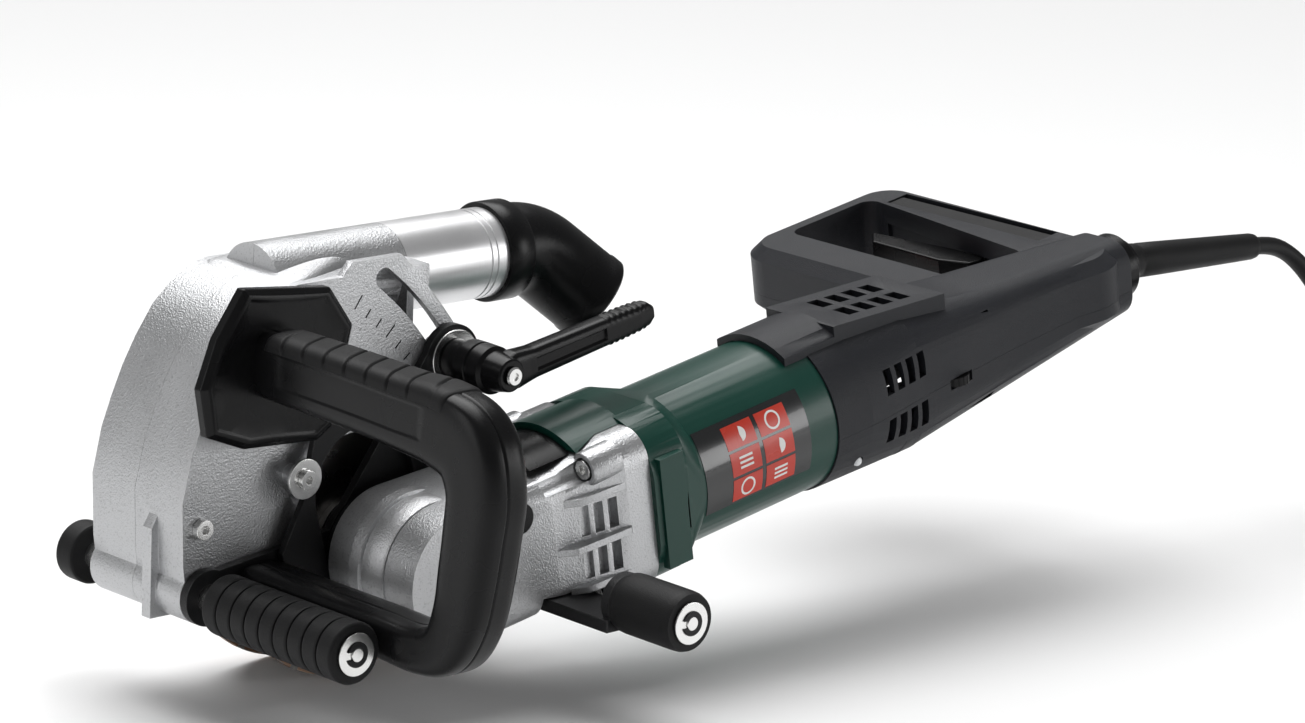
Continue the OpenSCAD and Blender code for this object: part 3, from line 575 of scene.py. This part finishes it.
# ---------- mains cord
CORD_ROUTE = [
    (0.366, -0.0155, 0.139), (0.376, -0.0155, 0.1384), (0.387, -0.016, 0.1356), (0.397, -0.0175, 0.1295),
    (0.406, -0.0205, 0.12), (0.414, -0.025, 0.107), (0.421, -0.0305, 0.091), (0.428, -0.037, 0.073),
    (0.434, -0.0435, 0.056), (0.441, -0.0515, 0.04), (0.4495, -0.0615, 0.026), (0.459, -0.0725, 0.015),
    (0.4695, -0.0845, 0.0076), (0.480, -0.097, 0.0046),
]
COIL_AT = (0.430, -0.139)
COIL_OUTER = 65 * MM
COIL_INNER = 39 * MM
COIL_START = 40.0
COIL_TURNED = 4160.0
RISE_TURNED = 90.0
LAYER_STEP = 100.0
PLUG_AXIS = 52.8 * MM
PLUG_CIRCLE = 46 * MM
TIE_TURNED = math.radians(-60)
TIE_REACH = 8 * MM
TIE_GAP = 0.3 * MM
TIE_THICK = 1.8 * MM
TIE_WIDE = 6 * MM
TIE_FOOT = 0.2 * MM


def coil_turns(diameter):
    """Flat spirals one diameter apart, wound inwards and outwards in turn, each a diameter above the last;
    the last stretch lifts onto the coil to meet the plug. Radius and height are functions of the angle."""
    level = (COIL_OUTER - COIL_INNER) / diameter * 360.0
    turned_by = np.arange(15.0, COIL_TURNED + 0.1, 15.0)
    layer = np.floor(turned_by / (level + LAYER_STEP))
    spent = turned_by - layer * (level + LAYER_STEP)
    share = np.clip(spent / level, 0, 1)
    climb = np.clip((spent - level) / LAYER_STEP, 0, 1)
    climb = climb * climb * (3 - 2 * climb)
    share = np.where(layer % 2 == 0, share, 1 - share)
    radius = COIL_OUTER + (COIL_INNER - COIL_OUTER) * share
    height = CORD_ROUTE[-1][2] + diameter * (layer + climb)
    last = np.arange(15.0, RISE_TURNED + 0.1, 15.0)
    lift = (last / RISE_TURNED) ** 2 * (3 - 2 * last / RISE_TURNED)
    radius = np.concatenate([radius, radius[-1] + (PLUG_CIRCLE - radius[-1]) * lift])
    height = np.concatenate([height, height[-1] + (PLUG_AXIS - height[-1]) * lift])
    angle = np.radians(COIL_START - np.concatenate([turned_by, turned_by[-1] + last]))
    return np.stack([COIL_AT[0] + radius * np.cos(angle), COIL_AT[1] + radius * np.sin(angle), height], -1)


def tie_strap(turns, diameter):
    """An open strap over the coil: in each direction it lies on the turn that reaches furthest."""
    across = np.array([math.cos(TIE_TURNED), math.sin(TIE_TURNED), 0])
    along = np.array([-math.sin(TIE_TURNED), math.cos(TIE_TURNED), 0])
    middle = np.array([*COIL_AT, 0])
    offset = turns - middle
    crossing = offset[(np.abs(offset @ along) < TIE_REACH) & (offset @ across > 0)]
    crossing = np.stack([crossing @ across, crossing[:, 2]], -1)
    angle = np.linspace(0, math.pi, 61)
    direction = np.stack([np.cos(angle), np.sin(angle)], -1)
    furthest = crossing[np.argmax(direction @ crossing.T, axis=1)]
    faces = [furthest + (diameter / 2 + gap) * direction for gap in (TIE_GAP, TIE_GAP + TIE_THICK)]
    faces = [np.concatenate([[[face[0, 0], TIE_FOOT]], face, [[face[-1, 0], TIE_FOOT]]]) for face in faces]
    sides = [(faces[0], -TIE_WIDE), (faces[1], -TIE_WIDE), (faces[1], TIE_WIDE), (faces[0], TIE_WIDE)]
    grid = np.stack([middle + face[:, :1] * across + face[:, 1:] * [0, 0, 1] + side * along
                     for face, side in sides], 1)
    return skin(grid)


class CHASER_OT_cord(bpy.types.Operator):
    """Mains cord with its tapered sleeve, coil, tie and plug"""

    bl_idname = "chaser.cord"
    bl_label = "Mains Cord"

    def execute(self, context):
        sizes = context.scene.chaser_sizes
        route = np.concatenate([CORD_ROUTE, coil_turns(sizes.cord_diameter)])
        curve = bpy.data.curves.new("mains_cord", "CURVE")
        curve.dimensions = "3D"
        curve.bevel_depth = sizes.cord_diameter / 2
        curve.bevel_resolution = 4
        curve.resolution_u = 3
        curve.use_fill_caps = True
        spline = curve.splines.new("NURBS")
        spline.points.add(len(route) - 1)
        spline.points.foreach_set("co", np.c_[route, np.ones(len(route))].ravel())
        spline.order_u = 3
        spline.use_endpoint_u = True
        cord = bpy.data.objects.new("mains_cord", curve)
        context.scene.collection.objects.link(cord)
        settle(cord, "motor_unit", ["cord", "cord_coil"], "cord")
        start, end = from_axle([380.2, 102, 89.1]), np.array(CORD_ROUTE[0])
        along = np.linalg.norm(end - start) / MM
        rings = [(-6, 4.6), (-6, 8.2), (2, 8.6), (7, 8.6), (8, 8.0), (10, 8.0), (11, 8.5), (24, 8.3),
                 (along - 14, 6.9), (along - 3, 6.6), (along - 0.6, 6.2), (along, 5.6), (along, 4.55)]
        sleeve = add_piece("cord_sleeve_taper", turned(rings, start, end - start, 64), "rubber",
                           "motor_unit", ["cord_sleeve"], angle=50)
        tie = add_piece("cord_tie_strap", tie_strap(route, sizes.cord_diameter), "rubber", "motor_unit",
                        ["cord_tie"], edge=0.4 * MM)
        plug = finished_copy("cord_plug", 1.2 * MM, 40)
        return {"FINISHED"}


# ---------- castings and housings
def duct_fairing():
    """Sections that change from a rounded box as wide as the hood to the round of the tube, while their top
    edge climbs from the front corner of the hood to the top of the tube."""
    x = np.linspace(-119, -37, 60)
    top = np.interp(x, [-119, -108, -98, -37], [114, 125, 131, 141.3])
    blend = np.clip((x + 100) / 60, 0, 1)
    blend = blend * blend * (3 - 2 * blend)
    half_width = 31.0 - 10.7 * blend
    half_height = 9.0 + 11.3 * np.clip((x + 119) / 60, 0, 1)
    boxy, _ = superellipse(6.0, 120)
    angle = np.arctan2(boxy[:, 1], boxy[:, 0])
    circle = np.stack([np.cos(angle), np.sin(angle)], -1)
    shape = boxy[None] + blend[:, None, None] * (circle - boxy)[None]
    y = 181.9 + 2.1 * blend[:, None] + shape[..., 0] * half_width[:, None]
    z = (top - half_height)[:, None] + shape[..., 1] * half_height[:, None]
    return skin(from_axle(np.stack([x[:, None] + 0 * y, y, z], -1)))


def case_bosses():
    """Rings round the four screw heads of the gear case, a fin between its windows and one above them."""
    rings = [(66.5, 5.4), (66.5, 7.2), (68, 7.9), (83, 8.3), (83, 5.4)]
    made = [turned(rings, from_spindle([0, v, n]), MOTOR_ALONG, 48) for v in (-30, 30) for n in (-29, 29)]
    for s0, s1, n, high in ((46, 86, -3.4, 6.2), (52, 86, 17.5, 4.4), (52, 86, -23.6, 4.4)):
        outline = [(s0, -30.5), (s0 + 7, -31 - high), (s1 - 3, -33 - high), (s1, -36.5), (s1, -30.5)]
        grid = np.array([[(s, v, m) for s, v in outline] for m in (n - 1.7, n + 1.7)])
        made.append(skin(from_spindle(grid)))
    return made


def case_bands():
    """Raised bands round the neck of the gear case, turned about the spindle."""
    rings = [(101, 28), (101, 30.6), (102, 31.2), (112, 31.4), (113, 30.5), (115.4, 30.5), (116, 32),
             (121.6, 32.2), (122.4, 31.2), (130, 30.8), (131, 28)]
    centre = np.array([SPINDLE[0], ZERO[1], SPINDLE[2]])
    return turned(rings, centre, (0, 1, 0), 128)


FRONT_AXLE = np.array([-144, 0])
TICK_COUNT = 7
TICK_START = 52
TICK_STEP = 3.2
TICK_RADIUS = 140
TICK_HALF = 0.35
TICK_FACES = (149.95, 150.2)


def depth_ticks():
    """Marks of the depth scale, thin bars on an arc about the front axle, every third one longer."""
    made = []
    for step in range(TICK_COUNT):
        angle = math.radians(TICK_START + TICK_STEP * step) - 0.28
        radial = np.array([math.cos(angle), math.sin(angle)])
        reach = np.array([TICK_RADIUS, TICK_RADIUS + (7 if step % 3 == 0 else 4.5)])
        line = FRONT_AXLE + reach[:, None] * radial
        across = TICK_HALF * np.array([-radial[1], radial[0]])
        outline = np.array([line[0] - across, line[1] - across, line[1] + across, line[0] + across])
        grid = np.array([[(x, y, z) for x, z in outline] for y in TICK_FACES])
        made.append(skin(from_axle(grid)))
    return made


class CHASER_OT_castings(bpy.types.Operator):
    """Cast hood halves, gear case with its bosses and bands, duct fairing and depth scale marks"""

    bl_idname = "chaser.castings"
    bl_label = "Castings"

    def execute(self, context):
        width = context.scene.chaser_sizes.casting_round
        for name in ("hood_near", "hood_far"):
            finished_copy(name, width, 24)
        finished_copy("gear_case", width * 0.6, 24)
        add_piece("depth_scale_ticks", joined(depth_ticks()), "black", "hood")
        add_piece("duct_fairing", duct_fairing(), "cast", "hood", angle=60)
        add_piece("gear_case_bosses", joined(case_bosses()), "cast", "motor_unit", angle=35, edge=0.4 * MM)
        add_piece("gear_case_bands", case_bands(), "cast", "motor_unit", angle=35)
        return {"FINISHED"}


class CHASER_OT_barrel(bpy.types.Operator):
    """Motor housing with its brow, exhaust cover and label"""

    bl_idname = "chaser.barrel"
    bl_label = "Motor Barrel"

    def execute(self, context):
        width = context.scene.chaser_sizes.plastic_round
        finished_copy("motor_housing", width * 0.7, 24)
        finished_copy("exhaust_cover", width * 0.4, 24)
        label_panel()
        return {"FINISHED"}


BARREL_R = 38.0
SQUARE_LONG = 18
SQUARE_ROUND = 16.4
SHAPE_HEIGHTS = (0.35, 0.52)


def barrel_patch(s0, s1, a0, a1, low, high, steps=12):
    """A thin closed plate that follows the barrel, between two places along it and two angles round it."""
    s = np.linspace(s0, s1, steps)
    a = np.radians(np.linspace(a0, a1, steps))
    s, a = np.meshgrid(s, a, indexing="ij")
    walls = []
    for radius in (BARREL_R + low, BARREL_R + high):
        walls.append(from_spindle(np.stack([s, -radius * np.cos(a), radius * np.sin(a)], -1)))
    index = tuple(np.array(rim_index(steps)).T)
    rim = np.array([wall[index] for wall in walls])
    return joined([skin(wall, wrap_round=False, caps=False) for wall in walls] + [skin(rim, caps=False)])


def rim_index(steps):
    """Grid places once round the edge of a square grid."""
    last = steps - 1
    return ([(0, k) for k in range(last)] + [(k, last) for k in range(last)]
            + [(last, k) for k in range(last, 0, -1)] + [(k, 0) for k in range(last, 0, -1)])


def barrel_disc(s, a, inner, outer, low, high, turns=(0, 360)):
    """A thin ring or disc on the barrel: circles about a point of its surface, bent to its curve."""
    angle = np.radians(np.linspace(*turns, 25))
    grid = []
    for radius, height in ((inner, low), (outer, low), (outer, high), (inner, high)):
        along = s + radius * np.cos(angle)
        round_by = math.radians(a) + radius * np.sin(angle) / BARREL_R
        r = BARREL_R + height
        grid.append(from_spindle(np.stack([along, -r * np.cos(round_by), r * np.sin(round_by)], -1)))
    grid = np.array(grid)
    if abs(turns[1] - turns[0]) == 360:
        return skin(grid[:, :-1], wrap_rings=True)
    return skin(np.transpose(grid, (1, 0, 2)))


def label_panel():
    """A dark panel with two columns of red squares, each with a plain shape of its own."""
    add_piece("label_panel", barrel_patch(130, 195, -22, 38, -0.2, 0.28, steps=20), "label", "motor_unit",
              ["rating_label"], angle=30)
    squares, shapes = [], []
    for column in (0, 1):
        for row in (0, 1, 2):
            s0, a0 = 146 + 20.5 * column, -20 + 18.5 * row
            squares.append(barrel_patch(s0, s0 + SQUARE_LONG, a0, a0 + SQUARE_ROUND, 0.2, 0.42, 8))
            s, a = s0 + SQUARE_LONG / 2, a0 + SQUARE_ROUND / 2
            if (column + row) % 3 == 0:
                shapes.append(barrel_disc(s, a, 3.4, 4.4, *SHAPE_HEIGHTS))
            elif (column + row) % 3 == 1:
                shapes += [barrel_patch(s - 4, s + 4, a + start, a + stop, *SHAPE_HEIGHTS, 5)
                           for start, stop in ((-4.2, -2.6), (-0.8, 0.8), (2.6, 4.2))]
            else:
                shapes.append(barrel_disc(s, a, 0.0, 3.6, *SHAPE_HEIGHTS, turns=(-80, 80)))
    add_piece("label_squares", joined(squares), "label_red", "motor_unit", angle=30)
    add_piece("label_shapes", joined(shapes), "label_white", "motor_unit", angle=30)


class CHASER_OT_rear_handle(bpy.types.Operator):
    """Rear handle shells with their inlay, controls and collar"""

    bl_idname = "chaser.rear_handle"
    bl_label = "Rear Handle"

    def execute(self, context):
        width = context.scene.chaser_sizes.plastic_round
        finished_copy("handle_upper", width, 22)
        finished_copy("handle_lower", width, 22)
        finished_copy("grip_inlay", width * 0.8, 30, 3)
        finished_copy("trigger", width, 30, 3)
        finished_copy("lock_off_button", width * 0.6, 30)
        finished_copy("speed_wheel", 0.3 * MM, 30)
        finished_copy("cable_collar", width * 0.5, 30)
        dome = [(-31.9, 0.01), (-31.7, 1.2), (-31.2, 2.0), (-30.4, 2.4), (-24.0, 2.45), (-24.0, 0.01)]
        add_piece("status_lens_dome", turned(dome, from_spindle([230, 0, -24]), (0, 1, 0), 40), "lens",
                  "motor_unit", ["status_lens"])
        return {"FINISHED"}


# ---------- front handle
LOOP = [
    (143.0, 101.2, 14.4), (120.0, 101.0, 14.7), (95.0, 100.6, 15.0), (70.0, 100.0, 15.3),
    (48.0, 99.2, 15.8), (26.0, 98.2, 17.2), (8.5, 92.5, 18.2), (1.6, 76.0, 16.2), (3.0, 58.0, 15.4),
    (5.6, 40.0, 14.8), (9.2, 22.0, 13.6), (17.5, 7.0, 11.6), (33.0, 1.9, 10.2), (56.0, 2.2, 9.8),
    (84.0, 2.2, 9.7), (114.0, 2.2, 9.7), (144.0, 2.2, 9.7),
]
LOOP_X = -116.9
LOOP_HALF = 11.9
LOOP_POWER = 4.2
GROOVE_SLANT = 5.0
GROOVE_PITCH = 13.5


def loop_frames(count):
    """Middle line of the front handle in y and z, its half height, and the direction out of the loop."""
    line = curve_through(LOOP, count)
    along = np.gradient(line[:, :2], axis=0)
    along /= np.linalg.norm(along, axis=1, keepdims=True)
    outward = np.stack([along[:, 1], -along[:, 0]], -1)
    return line[:, :2], line[:, 2], outward


def loop_body():
    """Rounded-square sections square to the middle line, with a fine parting groove round the loop and a
    shallow inset panel on both sides of the top bar."""
    middle, half, outward = loop_frames(190)
    shape, _ = superellipse(LOOP_POWER, 200)
    across = shape[:, 0] * LOOP_HALF
    parting = 0.55 * np.exp(-(((across + 2.1) / 0.42) ** 2)) * (np.abs(shape[:, 1]) > 0.8)
    height = shape[None, :, 1] * half[:, None]
    bar = (middle[:, 1] > 88)[:, None] * 1.0
    edge = np.minimum(np.minimum(middle[:, :1] - 30, 122 - middle[:, :1]), 7.2 - np.abs(height - 1.0))
    inset = 0.5 * np.clip(edge / 0.7, 0, 1) * bar * (np.abs(shape[None, :, 0]) > 0.9)
    x = LOOP_X + across[None] - np.sign(across)[None] * inset
    reach = height - parting[None] * np.sign(shape[None, :, 1])
    grid = np.stack([x, middle[:, :1] + reach * outward[:, :1], middle[:, 1:] + reach * outward[:, 1:]], -1)
    return skin(from_axle(grid))


def grip_sleeve():
    """The outer side of the loop's top bar again, a little proud, with slanted grooves across it."""
    middle, half, outward = loop_frames(900)
    pick = np.flatnonzero((middle[:, 0] > 20) & (middle[:, 0] < 132) & (middle[:, 1] > 90))
    pick = pick[np.linspace(0, len(pick) - 1, 300).astype(int)]
    middle, half, outward = middle[pick], half[pick], outward[pick]
    shape, angle = superellipse(LOOP_POWER, 65, 0.10 * math.pi, 0.90 * math.pi, whole=False)
    run = np.concatenate([[0], np.cumsum(np.linalg.norm(np.diff(middle, axis=0), axis=1))])
    phase = (run[:, None] + GROOVE_SLANT * shape[None, :, 0]) / GROOVE_PITCH
    wave = np.abs((phase % 1.0) - 0.5)
    ends = np.minimum(run, run[-1] - run)[:, None]
    groove = 1.1 * np.exp(-((wave / 0.055) ** 2)) * np.clip((ends - 6) / 4, 0, 1)
    fade = np.clip(ends / 2.0, 0, 1) ** 0.5 * np.clip(np.sin(angle - 0.05)[None] * 3.2 - 0.9, 0, 1)
    walls = []
    for lift in (0.95 * fade - groove * fade + 0.05, -1.0 + 0 * fade):
        x = LOOP_X + shape[None, :, 0] * (LOOP_HALF + lift * 0.8)
        reach = shape[None, :, 1] * (half[:, None] + lift)
        walls.append(np.stack([x, middle[:, :1] + reach * outward[:, :1],
                               middle[:, 1:] + reach * outward[:, 1:]], -1))
    section = np.concatenate([walls[0], walls[1][:, ::-1]], axis=1)
    return skin(from_axle(section))


BASE_OUTLINE = [(-134, 135), (-87, 130), (-74, 112), (-84, 68), (-92, 63), (-132, 65), (-152, 73),
                (-156, 94), (-148, 115)]


def handle_cup():
    """The base's outline at several depths: straight sides, a chamfer, a narrow rim and a nearly flat middle
    round the grip, each ring shrunk towards the grip."""
    outline = np.array(BASE_OUTLINE, float)
    following = np.roll(outline, -1, 0)
    share = np.arange(6)[:, None]
    edge = np.concatenate([here + (there - here) * share / 6 for here, there in zip(outline, following)])
    centre = np.array([-117.0, 100.0])
    away = edge - centre
    length = np.linalg.norm(away, axis=1, keepdims=True)
    rings = [(144.0, 0.0), (139.4, 0.0), (137.3, 2.6), (137.0, 4.4), (137.5, 6.0), (137.6, 12.0)]
    grid = []
    for y, inset in rings:
        flat = centre + away * (1 - inset / length)
        grid.append(np.stack([flat[:, 0], np.full(len(flat), y), flat[:, 1]], -1))
    return skin(from_axle(np.array(grid)))


class CHASER_OT_front_handle(bpy.types.Operator):
    """Front handle loop, its rubber sleeve and its base"""

    bl_idname = "chaser.front_handle"
    bl_label = "Front Handle"

    def execute(self, context):
        add_piece("front_handle_loop", loop_body(), "black", "hood",
                  ["front_handle_left", "front_handle_right"], angle=50)
        add_piece("front_grip_sleeve", grip_sleeve(), "rubber", "hood", ["front_grip_pad"], angle=50)
        add_piece("front_handle_cup", handle_cup(), "black", "hood", ["front_handle_base"], angle=18,
                  edge=0.9 * MM)
        return {"FINISHED"}


# ---------- duct
TUBE_WALL = 5.0


class CHASER_OT_duct(bpy.types.Operator):
    """Turned suction tube and the elbow on its end"""

    bl_idname = "chaser.duct"
    bl_label = "Suction Duct"

    def execute(self, context):
        tube = corners("suction_duct")
        middle = tube.mean(0)
        radius = (tube[1, 1] - tube[0, 1]) / 2 / MM
        length = (tube[1, 0] - tube[0, 0]) / MM
        centre = np.array([tube[0, 0], middle[1], middle[2]])
        bore = radius - TUBE_WALL
        profile = [(0, bore), (0, radius - 3.1), (8.0, radius - 3.1), (8.1, radius), (length - 26, radius)]
        for at in (length - 25, length - 21.5):
            profile += [(at, radius), (at + 0.3, radius - 0.5), (at + 1.0, radius - 0.5), (at + 1.3, radius)]
        profile += [(length - 0.6, radius), (length, radius - 0.6), (length, bore)]
        add_piece("suction_tube", turned(profile, centre, (1, 0, 0), 128), "turned", "hood",
                  ["suction_duct"], angle=30)
        add_piece("elbow_shell", elbow_shell(), "black", "elbow", ["duct_elbow"], angle=40)
        return {"FINISHED"}


def elbow_shell():
    """A pipe of round sections along a straight, a circular bend and a second straight, its outer wall
    followed by its inner wall back to the start."""
    radius, wall, roll, turn, bend = 20.4, 3.0, math.radians(-27.8), math.radians(45), 26.0
    start, corner, leg = 37.0, 65.0, 42.0
    run_in = bend * math.tan(turn / 2)
    down = np.array([0.0, math.sin(roll), -math.cos(roll)])
    ahead = np.array([1.0, 0.0, 0.0])
    side = np.cross(down, ahead)
    corner_at = np.array([corner, 184.0, 121.0])
    places, headings, radii = [], [], []
    for x, r in ((start, radius + 2.0), (start + 0.6, radius + 2.4), (50.0, radius + 2.4),
                 (51.2, radius + 1.6), (51.6, radius + 0.2)):
        places.append(corner_at + (x - corner) * ahead)
        headings.append(ahead)
        radii.append(r)
    hub = corner_at - run_in * ahead + bend * down
    for angle in np.linspace(0, turn, 15):
        places.append(hub + bend * (math.sin(angle) * ahead - math.cos(angle) * down))
        headings.append(math.cos(angle) * ahead + math.sin(angle) * down)
        radii.append(radius)
    out = headings[-1]
    for reach, r in ((leg - 6, radius), (leg - 5.4, radius + 0.5), (leg - 1.0, radius + 0.5),
                     (leg - 0.2, radius - 0.2), (leg, radius - 0.9)):
        places.append(corner_at + reach * out)
        headings.append(out)
        radii.append(r)
    places, headings, radii = np.array(places), np.array(headings), np.array(radii)
    inner = np.full(len(radii), radius - wall)
    inner[:3] = radius + 0.05
    angle = np.linspace(0, 2 * math.pi, 96, endpoint=False)
    upward = np.cross(headings, side)
    walls = []
    for r in (radii, inner):
        walls.append(places[:, None] + r[:, None, None] * (np.cos(angle)[:, None] * side
                                                          + np.sin(angle)[None, :, None] * upward[:, None]))
    return skin(from_axle(np.concatenate([walls[0], walls[1][::-1]])), wrap_rings=True)


# ---------- rollers
ROLLER_BORE = 6.05


def ringed_profile(length, radius, bore, rings, depth):
    """A roller's section: full rings with rounded shoulders and narrow grooves between them."""
    place = np.linspace(0, length, 1 + 18 * rings)
    within = (place / length * rings) % 1.0
    within[-1] = 1.0
    shoulder = np.abs(2 * within - 1) ** 14
    outer = radius - depth * shoulder
    outer[[0, -1]] = radius - 0.9
    return [(0.0, bore), *zip(place, outer), (length, bore)]


class CHASER_OT_rollers(bpy.types.Operator):
    """Rubber rollers with their rings"""

    bl_idname = "chaser.rollers"
    bl_label = "Rollers"

    def execute(self, context):
        sizes = context.scene.chaser_sizes
        counts = {"front_roller_rings": sizes.roller_rings, "front_far_roller": 1, "rear_near_roller": 1,
                  "rear_far_roller": 1}
        for name, rings in counts.items():
            box = corners(name)
            radius = (box[1, 2] - box[0, 2]) / 2 / MM
            depth = sizes.groove_depth / MM if rings > 1 else 0.9
            profile = ringed_profile((box[1, 1] - box[0, 1]) / MM, radius, ROLLER_BORE, rings, depth)
            centre = np.array([box[:, 0].mean(), box[0, 1], box[:, 2].mean()])
            add_piece(name + "_rubber", turned(profile, centre, (0, 1, 0)), "rubber", BODY_OF[name], [name],
                      angle=35)
        return {"FINISHED"}


# ---------- clamp lever
def lever_arm():
    """A tapering bar of rounded sections from the hub to its tip, with ribs across its last third."""
    start, tip = np.array([-12.0, 86.5]), np.array([75.5, 103.2])
    share = np.linspace(0, 1, 150)
    line = start + share[:, None] * (tip - start)
    heading = (tip - start) / np.linalg.norm(tip - start)
    upward = np.array([-heading[1], heading[0]])
    half = np.interp(share, [0, 0.08, 0.2, 0.8, 0.97, 1], [7.0, 8.6, 7.2, 6.4, 5.6, 3.4])
    depth = np.interp(share, [0, 0.05, 0.15, 0.9, 1], [4.4, 6.0, 5.4, 5.2, 3.6])
    ribs = 0.5 * np.clip(np.sin(share * 2 * math.pi * 26), -0.4, 1) * (share > 0.68) * (share < 0.95)
    shape, _ = superellipse(3.6, 48)
    hollow = ((share > 0.2) & (share < 0.66))[:, None]
    sink = (np.abs(shape[None, :, 0]) < 0.35) * (shape[None, :, 1] < 0) * 1.2 * hollow
    y = 113.0 + shape[None, :, 1] * depth[:, None] + sink
    reach = shape[None, :, 0] * (half + ribs)[:, None]
    grid = np.stack([line[:, :1] + reach * upward[0], y, line[:, 1:] + reach * upward[1]], -1)
    return skin(from_axle(grid))


class CHASER_OT_clamp(bpy.types.Operator):
    """Clamp lever, its hub and its stud"""

    bl_idname = "chaser.clamp"
    bl_label = "Clamp"

    def execute(self, context):
        hub = from_axle([-11, 118, 87])
        rings = [(-12, 4.1), (-12, 6.6), (-11.3, 7.4), (-6, 8.4), (-1.2, 9.0), (0, 10.8), (7, 11.0),
                 (7.4, 10.3), (8.2, 10.3), (8.6, 11.0), (15, 11.0), (15.5, 9.6), (24.6, 9.2), (25, 8.8),
                 (25, 4.1)]
        parts = [turned(rings, hub, (0, 1, 0), 64), lever_arm()]
        add_piece("lever_body", joined(parts), "black", "clamp", ["clamp_lever"], angle=38)
        head = [(0, 0.01), (0, 1.6), (0.9, 1.8), (0.9, 3.6), (0.2, 4.3), (-0.2, 4.3), (-0.2, 0.01)]
        pin = turned([(-13.4 - a, r) for a, r in head], hub, (0, 1, 0), 40)
        add_piece("lever_pin", pin, "steel", "clamp", angle=30)
        finished_copy("clamp_stud", 0.4 * MM, 30)
        return {"FINISHED"}


# ---------- everything that keeps its CAD form
EDGE_BY_SLOT = {"steel": 0.30, "tool_steel": 0.25, "powder": 0.50, "black": 0.7, "diamond": 0.2}
LEFT_TO_BEVEL = (
    "gear_case_screws", "bearing_cover", "depth_arm", "arm_screws", "handle_screws", "hood_screws",
    "roller_axles", "rear_carrier", "roller_washers", "axle_clips", "neck_guard", "guard_screws",
    "disc_flange", "disc_spacer", "disc_nut", "spindle", "spindle_lock", "switch_block",
)


def disc_rim(y):
    """Nine diamond segments of a disc: a flat section carried round the spindle through 36 degrees each."""
    inner, outer, half, corner = 53.2 * MM, 62.52 * MM, 1.23 * MM, 0.4 * MM
    segments = []
    for start in np.arange(0, 360, 40):
        angle = np.radians(np.linspace(start, start + 36, 19))
        around = np.stack([np.cos(angle), 0 * angle, -np.sin(angle)], -1)
        section = [(inner, -half), (outer - corner, -half), (outer, corner - half),
                   (outer, half - corner), (outer - corner, half), (inner, half)]
        hub = np.array([SPINDLE[0], y, SPINDLE[2]])
        grid = np.stack([hub + r * around + np.array([0, w, 0]) for r, w in section], 1)
        segments.append(skin(grid))
    return segments


class CHASER_OT_metalwork(bpy.types.Operator):
    """Screws, washers, axles, plates and discs with their broken edges, and a finish on every hidden piece"""

    bl_idname = "chaser.metalwork"
    bl_label = "Metalwork"

    def execute(self, context):
        for name in LEFT_TO_BEVEL:
            finished_copy(name, EDGE_BY_SLOT[SLOT_OF[name]] * MM, 32)
        for name in ("disc_near", "disc_far"):
            finished_copy(name, 0.2 * MM, slot="tool_steel")
            add_piece(name + "_rim", joined(disc_rim(corners(name)[:, 1].mean())), "diamond",
                      "disc_spindle", angle=35)
        for name, held in frame["nodes"].items():
            held.data.materials.clear()
            held.data.materials.append(FINISHES[SLOT_OF[name]])
        return {"FINISHED"}


# ---------- panel and registration
STEPS = (CHASER_OT_stage, CHASER_OT_cord, CHASER_OT_castings, CHASER_OT_barrel, CHASER_OT_rear_handle,
         CHASER_OT_front_handle, CHASER_OT_duct, CHASER_OT_rollers, CHASER_OT_clamp, CHASER_OT_metalwork)


class CHASER_PT_panel(bpy.types.Panel):
    """Lists the building steps and the sizes and colours they use"""

    bl_idname = "CHASER_PT_panel"
    bl_label = "Wall Chaser"
    bl_space_type = "VIEW_3D"
    bl_region_type = "UI"
    bl_category = "Wall Chaser"

    def draw(self, context):
        for step in STEPS:
            self.layout.operator(step.bl_idname)
        for group in (context.scene.chaser_sizes, context.scene.chaser_colours):
            for name in group.__annotations__:
                self.layout.prop(group, name)


CLASSES = (ChaserSizes, ChaserColours, *STEPS, CHASER_PT_panel)


def register():
    for made in CLASSES:
        bpy.utils.register_class(made)
    bpy.types.Scene.chaser_sizes = PointerProperty(type=ChaserSizes)
    bpy.types.Scene.chaser_colours = PointerProperty(type=ChaserColours)


def unregister():
    del bpy.types.Scene.chaser_colours
    del bpy.types.Scene.chaser_sizes
    for made in reversed(CLASSES):
        bpy.utils.unregister_class(made)


def main():
    """Registers the classes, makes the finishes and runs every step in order."""
    register()
    make_finishes()
    for step in STEPS:
        group, name = step.bl_idname.split(".")
        getattr(getattr(bpy.ops, group), name)()
    bpy.context.view_layer.update()


if __name__ == "__main__":
    main()
